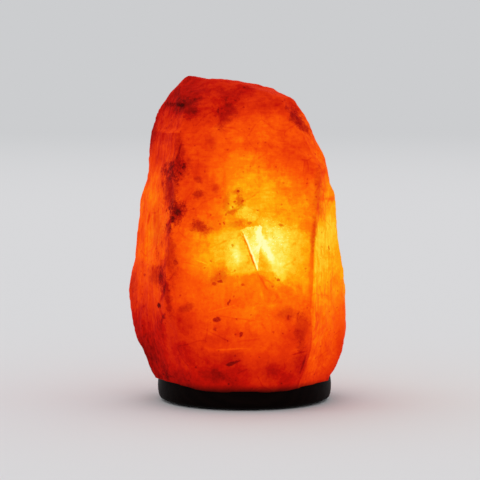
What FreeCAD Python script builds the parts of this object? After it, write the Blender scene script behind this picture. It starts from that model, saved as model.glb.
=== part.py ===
"""Salt crystal lamp: a hewn block of rock salt on a turned wooden base, lit by a small screw bulb.

Millimetres. The origin is on the base's axis at table level, +Z is up and -Y is the side that is looked at.
"""

import FreeCAD, Part
import math
import os

# ---------------------------------------------------------------- driving dimensions

# Turned wooden base
base_top = 16.0             # height of the seat above the table
base_flat_radius = 48.7     # flat ring that carries the crystal
bullnose_depth = 3.6        # how far the rim swells past the flat ring
rim_steps = 8               # straight cuts that follow the rim's half ellipse
hole_radius = 24.0          # way through the base for the lampholder
hole_chamfer = 1.0
groove_width = 8.5          # routed groove that leads the cord out at the back
groove_height = 8.6

# Felt ring under the base
felt_thickness = 1.2
felt_outer_radius = 47.5
felt_width = 6.0
felt_gap = 11.0             # opening of the ring at the cord groove

# Screws and plugs that join base and crystal
screw_angles = (-90.0, 30.0, 150.0)
screw_length = 28.0
screw_radius = 1.9
screw_head_radius = 4.0
screw_head_height = 2.2
screw_point = 3.0
screw_sink = 0.8            # how deep the head lies inside the underside
screw_recess_width = 0.9
screw_recess_depth = 1.2
screw_clearance = 0.4
plug_radius = 4.0
plug_length = 20.0
plug_slit = 1.0
plug_solid_end = 5.0        # unslit length at the mouth
plug_clearance = 0.1

# Crystal
bore_radius = 24.0
bore_top = 121.0
bore_cone_height = 9.0      # drill's cone at the end of the bore
bore_tip_radius = 13.0
rim_clearance = 0.4         # crystal's skirt to the rounded rim

# Lampholder
strap_z = 22.3              # underside of the spring bracket's strap
strap_thickness = 0.7
strap_width = 12.0
strap_half_length = 15.5
wing_drop = 18.0            # strap down to the tips of the wings
wing_belly_drop = 13.0      # strap down to where a wing grips
wing_belly_rise = 2.6       # length of a wing's lean from the grip up to its straight part
wing_belly_lean = 0.8       # and how far in it leans there
wing_curl = 2.4             # how far a wing's tip turns in
wing_clearance = 0.35       # sprung wing to the bore, at the strap's edges
nipple_radius = 5.0
nipple_bore_radius = 3.4
nipple_length = 12.0
nipple_below_nut = 1.5
thread_clearance = 0.1
nut_across_flats = 14.0
nut_height = 3.0
washer_radius = 8.0
washer_thickness = 0.8
housing_radius = 14.0
housing_wall = 1.8
cap_floor = 2.2
cap_height = 14.0
cap_foot_radius = 9.5       # flat foot of the cap
cap_shoulder = 5.5          # height of the rounded part of the cap
cap_shoulder_out = 2.9      # how far the round has come out at the point between its ends
spigot_height = 5.0         # barrel's neck inside the cap
spigot_wall = 1.4
spigot_clearance = 0.1
barrel_height = 29.0
barrel_shoulder = 7.0       # height of the barrel's wide part
barrel_taper = 5.0
barrel_top_radius = 12.2
barrel_bore_radius = 9.6
carrier_thickness = 6.0
carrier_clearance = 0.2
carrier_rise = 7.0          # top of the carrier above the foot of the barrel
shell_wall = 0.5
shell_height = 21.0
shell_lip = 0.9
shell_flange_radius = 8.8
shell_hole_radius = 5.0

# Screw bulb, E14
lamp_cap_radius = 6.9
lamp_running_clearance = 0.1
lamp_tip_rise = 3.4         # screwed home, the bulb's tip stands this far above the carrier
lamp_length = 57.0
tip_radius = 2.4
tip_height = 1.5
insulator_height = 2.6
insulator_top_radius = 6.2
cap_shell_wall = 0.4
cap_shell_height = 14.6
cap_flare = 0.6
cap_flare_height = 1.0
glass_radius = 12.5
glass_wall = 0.7
flank_radius = 30.0         # arc of the pear's flank
flank_sweep = 32.0          # degrees of that arc below the widest place
crown_steps = 5             # straight cuts in the arc of the envelope's crown
flank_steps = 3             # and in the arcs of its flank and throat
neck_radius = 6.2
neck_inside_cap = 6.0
stem_radius = 2.2
stem_flare_radius = 5.2
stem_flare_height = 5.0
stem_height = 17.0
pinch_height = 3.0
pinch_width = 6.4
pinch_thickness = 2.0
lead_radius = 0.3
lead_spread = 6.5
lead_height = 11.0
support_radius = 0.2
support_spread = 2.2
filament_thickness = 0.6
filament_rise = 3.2
filament_clearance = 0.3

# Terminals
terminal_spacing = 13.0
terminal_size = (4.0, 5.0, 6.0)
wire_hole_radius = 1.1
terminal_screw_radius = 1.2
terminal_screw_head_radius = 1.9
terminal_screw_head_height = 1.3
terminal_screw_clearance = 0.1
terminal_screw_slot = 0.6

# Centre contact
tongue_thickness = 0.4
tongue_width = 4.0
tongue_gap = 0.3            # tongue to the bulb's tip

# Crystal's front outline (x, z), left side from the rim up, then the top, then the right side down
FRONT_OUTLINE = (
    (-49.5, 10.0), (-52.0, 14.0), (-55.2, 19.0), (-58.6, 28.0), (-63.4, 38.0), (-67.4, 50.0),
    (-69.6, 66.0), (-66.2, 83.0), (-64.4, 97.0), (-62.4, 120.0), (-58.2, 131.5), (-57.4, 150.0),
    (-56.2, 159.0), (-51.9, 172.5), (-43.4, 185.0), (-36.4, 192.0), (-32.6, 194.5), (-22.4, 192.4),
    (-11.0, 192.0), (6.3, 189.6), (18.3, 186.0), (28.4, 180.5), (35.0, 172.0), (40.0, 159.0),
    (45.0, 150.0), (48.8, 138.0), (49.6, 131.0), (53.0, 125.0), (55.0, 96.0), (57.6, 81.0),
    (60.6, 60.0), (60.4, 46.0), (57.6, 33.0), (55.2, 24.0), (50.2, 16.5), (49.3, 10.0),
)

# Crystal's side outline (y, z), front from the chin up, then the crown, then the back down
SIDE_OUTLINE = (
    (-53.4, 11.0), (-55.2, 22.0), (-57.0, 42.0), (-57.4, 64.0), (-55.0, 98.0), (-50.0, 128.0),
    (-42.0, 156.0), (-33.0, 176.0), (-22.0, 189.0), (-12.0, 196.0), (6.0, 196.0), (20.0, 187.0),
    (34.0, 168.0), (44.0, 142.0), (51.0, 108.0), (55.0, 72.0), (54.2, 44.0), (51.4, 22.0), (51.0, 13.0),
)

# Cleavage faces: a point on the face, the compass way it looks (0 is +X, -90 the front) and its upward lean
CLEAVAGES = {
    "left strip, foot": ((-47.0, -54.0, 48.0), 212.0, -13.0),
    "left strip, waist": ((-45.0, -54.5, 80.0), 206.0, 2.0),
    "left strip, shoulder": ((-40.5, -47.0, 135.0), 204.0, 8.0),
    "left brow": ((-38.0, -34.0, 172.0), 208.0, 24.0),
    "right strip, foot": ((38.5, -56.0, 46.0), -34.0, -7.0),
    "right strip, waist": ((39.5, -55.0, 92.0), -30.0, 1.0),
    "right strip, shoulder": ((46.5, -48.0, 131.0), -40.0, 10.0),
    "right brow": ((33.0, -40.0, 157.0), -40.0, 34.0),
    "front, left of the middle": ((-34.0, -56.0, 66.0), -97.0, 0.0),
    "front, right of the middle": ((10.0, -56.6, 70.0), -86.0, 1.0),
    "front crown": ((6.0, -42.0, 158.0), -84.0, 27.0),
    "peak face": ((-28.0, -14.0, 193.0), -104.0, 52.0),
    "top slope": ((12.0, -6.0, 188.0), -30.0, 74.0),
    "back of the top": ((0.0, 14.0, 188.0), 84.0, 56.0),
    "back, left": ((-44.0, 38.0, 72.0), 138.0, 0.0),
    "back, left of the middle": ((-18.0, 53.0, 80.0), 106.0, 4.0),
    "back, right": ((43.0, 36.0, 70.0), 44.0, 1.0),
    "back, right of the middle": ((20.0, 52.0, 60.0), 74.0, -3.0),
    "back left shoulder": ((-40.0, 26.0, 148.0), 142.0, 20.0),
    "back right shoulder": ((30.0, 26.0, 150.0), 42.0, 26.0),
    "back foot": ((0.0, 52.0, 30.0), 92.0, -14.0),
    "left side": ((-69.4, 2.0, 66.0), 172.0, -3.0),
    "right side": ((60.4, -8.0, 64.0), -7.0, 2.0),
    "chin, left": ((-37.0, -36.0, 13.0), 184.0, -82.0),
    "chin, right": ((40.0, -33.0, 13.0), -8.0, -82.0),
    "foot, left corner": ((-41.0, -37.5, 20.0), 222.0, -19.0),
    "foot, right corner": ((39.5, -39.0, 20.0), -44.0, -20.0),
    "foot, left of the front": ((-22.0, -54.5, 26.0), -112.0, -16.0),
    "foot, right of the front": ((24.0, -53.5, 24.0), -66.0, -18.0),
    "heel": ((0.0, 50.0, 14.0), 92.0, -80.0),
    "heel, left corner": ((-41.0, 37.0, 20.0), 140.0, -24.0),
    "heel, right corner": ((39.0, 39.0, 20.0), 42.0, -22.0),
}

# Thin slabs split off a side: the side, the slab's outline as one faces it, (x, z) on the front and the back
# and (y, z) on the left and the right, and then the face that is left, given as a cleavage face is
SPLITS = {
    "right pane": (
        "front",
        ((-3, 108), (7.5, 81), (17, 80), (20, 76), (28, 71), (38, 60), (39.5, 92), (42, 118), (8, 119)),
        (8.0, -53.9, 88.0), -88.0, 3.0,
    ),
    "left pane": (
        "front", ((-16, 78.5), (8, 80), (-3, 108), (-14, 112), (-24, 104)), (-5.0, -55.1, 79.0), -88.5, 4.1,
    ),
    "upper field": (
        "front", ((-12, 116), (-12, 151), (4, 156), (34, 152), (38, 118)), (-12.0, -51.2, 116.0), -91.0, 13.7,
    ),
    "foot slab": (
        "front",
        ((-25, 38.5), (-8, 36), (13, 38), (24, 27), (18, 18), (-22, 18)),
        (-8.0, -55.2, 37.0), -90.0, 0.7,
    ),
    "crown chip": (
        "front", ((-20, 164), (-2, 166), (4, 184), (-18, 184)), (-10.0, -36.7, 165.0), -90.0, 27.5,
    ),
    "left brow chip": (
        "front", ((-58, 161.5), (-34, 162.5), (-35, 178), (-58, 178)), (-41.2, -22.0, 174.0), 208.0, 19.0,
    ),
    "right brow chip": (
        "front", ((24, 152), (38, 148), (40, 164), (28, 170)), (32.0, -39.6, 156.0), -62.0, 28.0,
    ),
    "left strip, upper": (
        "left", ((-50, 88), (-22, 84), (-18, 112), (-44, 116)), (-51.0, -30.0, 116.0), 204.0, 5.5,
    ),
    "left strip, lower": (
        "left", ((-52, 44), (-26, 40), (-24, 66), (-50, 70)), (-53.1, -38.0, 55.0), 209.0, -5.0,
    ),
    "left belly": ("left", ((-8, 40), (14, 44), (18, 70), (-4, 66)), (-66.9, 4.0, 56.0), 174.0, -6.0),
    "left shoulder": (
        "left", ((-6, 128), (22, 124), (24, 150), (-2, 154)), (-54.2, 12.0, 138.0), 150.0, 12.0,
    ),
    "right strip, upper": (
        "right", ((-50, 98), (-24, 96), (-26, 122), (-48, 124)), (46.4, -40.0, 122.0), -30.0, 4.0,
    ),
    "right strip, lower": (
        "right", ((-54, 34), (-28, 30), (-26, 56), (-50, 60)), (49.3, -40.0, 56.0), -32.0, -7.0,
    ),
    "right belly": ("right", ((2, 60), (22, 58), (22, 92), (4, 96)), (57.6, 14.0, 74.0), 4.0, 9.5),
    "right shoulder": (
        "right", ((-16, 118), (10, 122), (12, 146), (-12, 148)), (50.9, -2.0, 126.0), -4.0, 8.0,
    ),
    "back, upper pane": (
        "back", ((-24, 108), (6, 112), (12, 140), (-20, 144)), (-6.0, 49.0, 110.0), 90.0, 9.7,
    ),
    "back, right pane": ("back", ((10, 70), (34, 66), (36, 98), (14, 104)), (24.0, 50.2, 70.0), 74.0, -1.0),
    "back, left slab": (
        "back", ((-38, 54), (-14, 50), (-10, 78), (-34, 84)), (-24.0, 50.8, 82.0), 106.0, 1.0,
    ),
    "back, low pane": ("back", ((-8, 26), (18, 24), (20, 46), (-6, 50)), (6.0, 53.0, 46.0), 90.0, -6.0),
    "back, left edge": (
        "back", ((-52, 88), (-34, 92), (-32, 120), (-50, 116)), (-44.0, 37.6, 118.0), 138.0, -2.0,
    ),
    "back, right edge": ("back", ((34, 40), (52, 36), (54, 66), (36, 70)), (43.0, 35.8, 68.0), 44.0, -1.5),
    "back, crown": ("back", ((-14, 158), (12, 160), (10, 180), (-12, 178)), (0.0, 36.4, 160.0), 88.0, 28.8),
}

# ---------------------------------------------------------------- helpers

AXIS = FreeCAD.Vector(0, 0, 1)
ORIGIN = FreeCAD.Vector(0, 0, 0)
SIDE_WAYS = {"front": (0, -1, 0), "back": (0, 1, 0), "left": (-1, 0, 0), "right": (1, 0, 0)}


def vector(x, y, z):
    return FreeCAD.Vector(x, y, z)


def cylinder(radius, bottom, top, x=0.0, y=0.0):
    return Part.makeCylinder(radius, top - bottom, vector(x, y, bottom))


def tube(outer, inner, bottom, top):
    return cylinder(outer, bottom, top).cut(cylinder(inner, bottom, top))


def turned(outline):
    """Turn a closed outline of (radius, height) points about the axis."""
    points = [vector(radius, 0, height) for radius, height in outline]
    face = Part.Face(Part.makePolygon(points + points[:1]))
    return face.revolve(ORIGIN, AXIS, 360)


def slab(x_range, y_range, z_range):
    size = [high - low for low, high in (x_range, y_range, z_range)]
    return Part.makeBox(*size, vector(x_range[0], y_range[0], z_range[0]))


def rod(start, end, radius):
    way = end.sub(start)
    return Part.makeCylinder(radius, way.Length, start, way)


def bent_strip(centre_line, thickness, width):
    """Strip metal bent along (x, z) points, mitred at the bends, its width centred on Y."""
    count = len(centre_line)
    left, right = [], []
    for i, (x, z) in enumerate(centre_line):
        before = centre_line[max(i - 1, 0)]
        after = centre_line[min(i + 1, count - 1)]
        into = math.atan2(z - before[1], x - before[0]) if i > 0 else None
        out = math.atan2(after[1] - z, after[0] - x) if i < count - 1 else None
        into = out if into is None else into
        out = into if out is None else out
        turn = math.remainder(out - into, 2 * math.pi)
        side = into + turn / 2 + math.pi / 2
        reach = thickness / 2 / math.cos(turn / 2)
        left.append(vector(x + reach * math.cos(side), -width / 2, z + reach * math.sin(side)))
        right.append(vector(x - reach * math.cos(side), -width / 2, z - reach * math.sin(side)))
    loop = left + right[::-1]
    face = Part.Face(Part.makePolygon(loop + loop[:1]))
    return face.extrude(vector(0, width, 0))


def save(node, *solids):
    """Write one node, after checking that each of its pieces is one sound solid."""
    pieces = []
    for solid in solids:
        if len(solid.Solids) != 1 or not solid.isValid():
            print("NOT SOUND", node, len(solid.Solids), solid.isValid())
        pieces += solid.Solids
    shape = pieces[0] if len(pieces) == 1 else Part.makeCompound(pieces)
    shape.exportStep("parts/" + node + ".step")
    box = shape.BoundBox
    print(f"{node}: {len(pieces)} solid(s), {shape.Volume:.1f} mm3, z {box.ZMin:.2f} to {box.ZMax:.2f}")


# ---------------------------------------------------------------- places that follow from the sizes

base_bottom = felt_thickness
rim_centre_z = (base_bottom + base_top) / 2
rim_half_height = (base_top - base_bottom) / 2
rim_radius = base_flat_radius + bullnose_depth
screw_circle_radius = (hole_radius + base_flat_radius) / 2
block_reach = max(height for _, height in FRONT_OUTLINE)    # half width of the raw block that is hewn
head_z = base_bottom + screw_sink

nut_top = strap_z - washer_thickness
nut_bottom = nut_top - nut_height
nipple_bottom = nut_bottom - nipple_below_nut
cap_z = strap_z + strap_thickness
barrel_z = cap_z + cap_height
carrier_top = barrel_z + carrier_rise
carrier_bottom = carrier_top - carrier_thickness
spigot_radius = housing_radius - housing_wall - spigot_clearance
spigot_bore_radius = spigot_radius - spigot_wall
shell_bore_radius = lamp_cap_radius + lamp_running_clearance
shell_top = carrier_top + shell_height

tip_z = carrier_top + lamp_tip_rise
insulator_z = tip_z + tip_height
cap_shell_z = insulator_z + insulator_height
cap_shell_top = cap_shell_z + cap_shell_height
glass_top = tip_z + lamp_length
bulge_z = glass_top - glass_radius
neck_z = cap_shell_top - neck_inside_cap
pinch_z = neck_z + stem_height
pinch_top = pinch_z + pinch_height


def at_screws():
    for angle in screw_angles:
        turn = math.radians(angle)
        yield screw_circle_radius * math.cos(turn), screw_circle_radius * math.sin(turn)


# ---------------------------------------------------------------- wooden base


def bullnose(inner, grow=0.0):
    """Ring with a half elliptical rim; grow widens the rim only."""
    outline = [(inner, base_top), (inner, base_bottom)]
    for k in range(rim_steps + 1):
        angle = math.pi * k / rim_steps
        radius = base_flat_radius + (bullnose_depth + grow) * math.sin(angle)
        outline.append((radius, rim_centre_z - rim_half_height * math.cos(angle)))
    return turned(outline)


def cord_groove():
    half = groove_width / 2
    wall_top = base_bottom + groove_height - half
    sides = slab((-half, half), (0, rim_radius + 1), (base_bottom - 1, wall_top))
    roof = Part.makeCylinder(half, rim_radius + 1, vector(0, 0, wall_top), vector(0, 1, 0))
    return sides.fuse(roof)


def wooden_base():
    ring = bullnose(hole_radius)
    ring = ring.cut(cord_groove())
    mouth = Part.makeCone(hole_radius + hole_chamfer, hole_radius, hole_chamfer, vector(0, 0, base_bottom))
    ring = ring.cut(mouth)
    for x, y in at_screws():
        sink = cylinder(screw_head_radius + screw_clearance, base_bottom - 1, head_z, x, y)
        cone = Part.makeCone(
            screw_head_radius + screw_clearance,
            screw_radius + screw_clearance,
            screw_head_height,
            vector(x, y, head_z),
        )
        way = cylinder(screw_radius + screw_clearance, head_z, base_top + 1, x, y)
        ring = ring.cut(sink.fuse(cone).fuse(way))
    return ring


def felt_ring():
    ring = tube(felt_outer_radius, felt_outer_radius - felt_width, 0, felt_thickness)
    gap = slab((-felt_gap / 2, felt_gap / 2), (0, felt_outer_radius + 1), (-1, felt_thickness + 1))
    return ring.cut(gap)


# ---------------------------------------------------------------- screws and plugs


def base_screw(x, y):
    point_z = head_z + screw_length
    head = Part.makeCone(screw_head_radius, screw_radius, screw_head_height, vector(x, y, head_z))
    shank = cylinder(screw_radius, head_z + screw_head_height, point_z - screw_point, x, y)
    point = Part.makeCone(screw_radius, 0.3, screw_point, vector(x, y, point_z - screw_point))
    screw = head.fuse(shank).fuse(point)
    half = screw_recess_width / 2
    arm = screw_head_radius * 0.55
    recess_z = (head_z - 0.1, head_z + screw_recess_depth)
    screw = screw.cut(slab((x - arm, x + arm), (y - half, y + half), recess_z))
    return screw.cut(slab((x - half, x + half), (y - arm, y + arm), recess_z)).removeSplitter()


def wall_plug(x, y):
    top = base_top + plug_length
    plug = cylinder(plug_radius, base_top, top, x, y)
    plug = plug.cut(cylinder(screw_radius + plug_clearance, base_top - 1, top - plug_clearance, x, y))
    half = plug_slit / 2
    slit_z = (base_top + plug_solid_end, top + 1)
    plug = plug.cut(slab((x - plug_radius - 1, x + plug_radius + 1), (y - half, y + half), slit_z))
    return plug


# ---------------------------------------------------------------- salt crystal


def outline_prism(outline, place, way):
    points = [place(across, up) for across, up in outline]
    if points[0] != points[-1]:
        points.append(points[0])
    return Part.Face(Part.makePolygon(points)).extrude(way)


def beyond(point, azimuth, lean):
    """All that lies beyond a cleavage plane."""
    around, up = math.radians(azimuth), math.radians(lean)
    normal = vector(math.cos(up) * math.cos(around), math.cos(up) * math.sin(around), math.sin(up))
    size = 2 * block_reach
    waste = Part.makeBox(size, size, size, vector(-block_reach, -block_reach, 0))
    looking = FreeCAD.Placement(vector(*point), FreeCAD.Rotation(AXIS, normal))
    waste.Placement = looking.multiply(waste.Placement)
    return waste


def split_off(block, side, outline, point, azimuth, lean):
    """Split a slab off one side: what lies beyond a plane, within an outline drawn on that side."""
    seen_in_x = side in ("front", "back")
    prism = outline_prism(
        outline,
        lambda across, up: vector(across, 0, up) if seen_in_x else vector(0, across, up),
        vector(*SIDE_WAYS[side]).multiply(block_reach),
    )
    return block.cut(beyond(point, azimuth, lean).common(prism))


def bulb_bore():
    return turned((
        (0, -1),
        (bore_radius, -1),
        (bore_radius, bore_top - bore_cone_height),
        (bore_tip_radius, bore_top),
        (0, bore_top),
    ))


def salt_crystal():
    wide = vector(0, 2 * block_reach, 0)
    deep = vector(2 * block_reach, 0, 0)
    front = outline_prism(FRONT_OUTLINE, lambda x, z: vector(x, -block_reach, z), wide)
    side = outline_prism(SIDE_OUTLINE, lambda y, z: vector(-block_reach, y, z), deep)
    block = front.common(side)
    for point, azimuth, lean in CLEAVAGES.values():
        block = block.cut(beyond(point, azimuth, lean))
    for split in SPLITS.values():
        block = split_off(block, *split)
    seat = bullnose(0, rim_clearance)
    block = block.cut(seat).cut(bulb_bore())
    for x, y in at_screws():
        hole_top = base_top + plug_length + plug_clearance
        block = block.cut(cylinder(plug_radius + plug_clearance, base_top - 1, hole_top, x, y))
    return max(block.Solids, key=lambda solid: solid.Volume)


# ---------------------------------------------------------------- lampholder


def wing_line():
    """Half of the spring bracket, from the middle of the strap out to the tip of a wing."""
    strap_mid = strap_z + strap_thickness / 2
    edge_wall = math.sqrt(bore_radius ** 2 - (strap_width / 2) ** 2)
    belly_x = edge_wall - wing_clearance - strap_thickness / 2
    tip_x = belly_x - wing_curl
    return [
        (0, strap_mid),
        (strap_half_length - 1.5, strap_mid),
        (strap_half_length, strap_mid - 0.6),
        (strap_half_length + 0.9, strap_mid - 2.0),
        (belly_x - wing_belly_lean, strap_mid - wing_belly_drop + wing_belly_rise),
        (belly_x, strap_mid - wing_belly_drop),
        (belly_x - 0.6, strap_mid - wing_belly_drop - 2.2),
        (tip_x, strap_mid - wing_drop),
    ]


def spring_bracket():
    half = wing_line()
    other = [(-x, z) for x, z in half[:0:-1]]
    strip = bent_strip(other + half, strap_thickness, strap_width)
    return strip.cut(cylinder(nipple_radius + thread_clearance, strap_z - 1, cap_z + 1))


def lock_nut():
    corner = nut_across_flats / math.sqrt(3)
    points = [vector(corner * math.cos(k * math.pi / 3), corner * math.sin(k * math.pi / 3), nut_bottom)
              for k in range(7)]
    nut = Part.Face(Part.makePolygon(points)).extrude(vector(0, 0, nut_height))
    return nut.cut(cylinder(nipple_radius + thread_clearance, nut_bottom - 1, nut_top + 1))


def holder_cap():
    inner = housing_radius - housing_wall
    shoulder_z = cap_z + cap_shoulder
    return turned((
        (nipple_radius + thread_clearance, cap_z),
        (cap_foot_radius, cap_z),
        (cap_foot_radius + cap_shoulder_out, cap_z + cap_shoulder * 0.3),
        (housing_radius, shoulder_z),
        (housing_radius, barrel_z),
        (inner, barrel_z),
        (inner, shoulder_z + 0.6),
        (cap_foot_radius, cap_z + cap_floor),
        (nipple_radius + thread_clearance, cap_z + cap_floor),
    ))


def holder_barrel():
    shoulder_z = barrel_z + barrel_shoulder
    taper_z = shoulder_z + barrel_taper
    top = barrel_z + barrel_height
    return turned((
        (spigot_radius, barrel_z - spigot_height),
        (spigot_radius, barrel_z),
        (housing_radius, barrel_z),
        (housing_radius, shoulder_z),
        (barrel_top_radius, taper_z),
        (barrel_top_radius, top - 0.6),
        (barrel_top_radius - 0.6, top),
        (barrel_bore_radius, top),
        (barrel_bore_radius, carrier_top),
        (spigot_bore_radius, carrier_top),
        (spigot_bore_radius, barrel_z - spigot_height),
    ))


def at_terminals():
    for side in (-1, 1):
        yield side * terminal_spacing / 2


def contact_carrier():
    carrier = cylinder(spigot_bore_radius - carrier_clearance, carrier_bottom, carrier_top)
    for x in at_terminals():
        carrier = carrier.cut(cylinder(wire_hole_radius, carrier_bottom - 1, carrier_top + 1, x))
    return carrier


def terminal_block(x):
    width, depth, height = terminal_size
    low = carrier_bottom - height
    block = slab((x - width / 2, x + width / 2), (-depth / 2, depth / 2), (low, carrier_bottom))
    block = block.cut(cylinder(wire_hole_radius, low - 1, low + height * 0.6, x))
    reach = terminal_screw_radius + terminal_screw_clearance
    mouth = vector(x, -depth / 2 - 1, low + height / 2)
    tapped = Part.makeCylinder(reach, depth / 2 + 1, mouth, vector(0, 1, 0))
    return block.cut(tapped)


def terminal_screw(x):
    depth, height = terminal_size[1:]
    z = carrier_bottom - height / 2
    face = -depth / 2
    head = Part.makeCylinder(
        terminal_screw_head_radius,
        terminal_screw_head_height,
        vector(x, face - terminal_screw_head_height, z),
        vector(0, 1, 0),
    )
    shank = Part.makeCylinder(terminal_screw_radius, depth / 2 - 0.5, vector(x, face, z), vector(0, 1, 0))
    half = terminal_screw_slot / 2
    reach = terminal_screw_head_radius + 1
    slot_y = (face - terminal_screw_head_height - 1, face - terminal_screw_head_height / 2)
    slot = slab((x - reach, x + reach), slot_y, (z - half, z + half))
    return head.fuse(shank).cut(slot)


def thread_shell():
    outer = shell_bore_radius + shell_wall
    floor = carrier_top + shell_wall
    return turned((
        (shell_hole_radius, carrier_top),
        (shell_flange_radius, carrier_top),
        (shell_flange_radius, floor),
        (outer, floor),
        (outer, shell_top - shell_lip),
        (outer + shell_lip, shell_top),
        (shell_bore_radius + shell_lip, shell_top),
        (shell_bore_radius, shell_top - shell_lip),
        (shell_bore_radius, floor),
        (shell_hole_radius, floor),
    ))


def centre_contact():
    low = carrier_top + tongue_thickness / 2
    rise = tip_z - tongue_gap - tongue_thickness / 2 - low
    line = [(-3.8, 0.0), (-1.8, 0.0), (0.0, 0.8), (1.4, 1.0), (2.6, 0.8), (3.4, 0.5)]
    return bent_strip([(x, low + share * rise) for x, share in line], tongue_thickness, tongue_width)


# ---------------------------------------------------------------- bulb


def cap_contact():
    return turned((
        (0, tip_z),
        (tip_radius * 0.55, tip_z),
        (tip_radius * 0.9, tip_z + tip_height * 0.4),
        (tip_radius, insulator_z),
        (0, insulator_z),
    ))


def cap_insulator():
    return turned((
        (0, insulator_z),
        (tip_radius + 0.6, insulator_z),
        (insulator_top_radius, cap_shell_z),
        (0, cap_shell_z),
    ))


def bulb_cap():
    inner = lamp_cap_radius - cap_shell_wall
    floor = cap_shell_z + cap_shell_wall
    flare_z = cap_shell_top - cap_flare_height
    return turned((
        (tip_radius, cap_shell_z),
        (insulator_top_radius, cap_shell_z),
        (lamp_cap_radius, cap_shell_z + 0.7),
        (lamp_cap_radius, flare_z),
        (lamp_cap_radius + cap_flare, cap_shell_top),
        (inner + cap_flare, cap_shell_top),
        (inner, flare_z),
        (inner, floor + 0.7),
        (inner - 0.7, floor),
        (tip_radius, floor),
    ))


def glass_outline(inset):
    """Half outline of the envelope, drawn in by inset, up the neck, throat, flank and crown."""
    lean = math.radians(flank_sweep)
    flank_x = glass_radius - flank_radius
    throat_radius = (flank_x + flank_radius * math.cos(lean) - neck_radius) / (1 - math.cos(lean))
    throat_x = flank_x + (flank_radius + throat_radius) * math.cos(lean)
    throat_z = bulge_z - (flank_radius + throat_radius) * math.sin(lean)
    outline = [(neck_radius - inset, neck_z)]
    for k in range(flank_steps):
        angle = lean * k / flank_steps
        reach = throat_radius + inset
        outline.append((throat_x - reach * math.cos(angle), throat_z + reach * math.sin(angle)))
    for k in range(flank_steps):
        angle = lean * (1 - k / flank_steps)
        reach = flank_radius - inset
        outline.append((flank_x + reach * math.cos(angle), bulge_z - reach * math.sin(angle)))
    for k in range(crown_steps):
        angle = math.pi / 2 * k / crown_steps
        reach = glass_radius - inset
        outline.append((reach * math.cos(angle), bulge_z + reach * math.sin(angle)))
    return outline + [(0, bulge_z + glass_radius - inset)]


def bulb_glass():
    return turned(glass_outline(0) + glass_outline(glass_wall)[::-1])


def glass_stem():
    flare = turned((
        (0, neck_z),
        (stem_flare_radius, neck_z),
        (stem_flare_radius, neck_z + 0.8),
        (stem_radius, neck_z + stem_flare_height),
        (stem_radius, pinch_z),
        (0, pinch_z),
    ))
    half_width, half_depth = pinch_width / 2, pinch_thickness / 2
    pinch = slab((-half_width, half_width), (-half_depth, half_depth), (pinch_z - 1, pinch_top))
    return flare.fuse(pinch).removeSplitter()


def lead_wire(side):
    foot = vector(side * (pinch_width / 2 - 0.7), 0, pinch_top)
    tip = vector(side * lead_spread, 0, pinch_top + lead_height)
    return rod(foot, tip, lead_radius).cut(slab((-10, 10), (-5, 5), (pinch_top - 2, pinch_top)))


def support_wire(side):
    foot = vector(side * 0.8, 0, pinch_top)
    reach = lead_height + filament_rise + filament_thickness / 2
    tip = vector(side * support_spread, 0, pinch_top + reach)
    return rod(foot, tip, support_radius).cut(slab((-10, 10), (-5, 5), (pinch_top - 2, pinch_top)))


def filament():
    """The filament's coil as one thin bar, from lead to lead over the two supports."""
    low = pinch_top + lead_height + filament_clearance + filament_thickness
    high = low + filament_rise
    line = [(-lead_spread, low), (-support_spread, high), (support_spread, high), (lead_spread, low)]
    return bent_strip(line, filament_thickness, filament_thickness)


# ---------------------------------------------------------------- write every node

os.makedirs("parts", exist_ok=True)

save("salt_crystal", salt_crystal())
save("wooden_base", wooden_base())
save("felt_ring", felt_ring())
save("base_screws", *[base_screw(x, y) for x, y in at_screws()])
save("wall_plugs", *[wall_plug(x, y) for x, y in at_screws()])

save("spring_bracket", spring_bracket())
save("cord_nipple", tube(nipple_radius, nipple_bore_radius, nipple_bottom, nipple_bottom + nipple_length))
save("lock_nut", lock_nut())
save("lock_washer", tube(washer_radius, nipple_radius + thread_clearance, nut_top, strap_z))
save("holder_cap", holder_cap())
save("holder_barrel", holder_barrel())
save("contact_carrier", contact_carrier())
save("terminal_blocks", *[terminal_block(x) for x in at_terminals()])
save("terminal_screws", *[terminal_screw(x) for x in at_terminals()])
save("thread_shell", thread_shell())
save("centre_contact", centre_contact())

save("cap_contact", cap_contact())
save("cap_insulator", cap_insulator())
save("bulb_cap", bulb_cap())
save("bulb_glass", bulb_glass())
save("glass_stem", glass_stem())
save("lead_wires", lead_wire(-1), lead_wire(1))
save("support_wires", support_wire(-1), support_wire(1))
save("filament", filament())
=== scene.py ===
# %% [markdown]
# # A salt crystal lamp
# A block of rock salt is hewn to a rough standing shape, bored from below and set on a turned wooden base.
# A small screw bulb in the bore lights it, so nearly all that shows is light that has come through the
# salt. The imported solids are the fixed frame: every piece below is made at its place on that frame, in
# metres.

# %% Load the frame
import math
from contextlib import contextmanager

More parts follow.
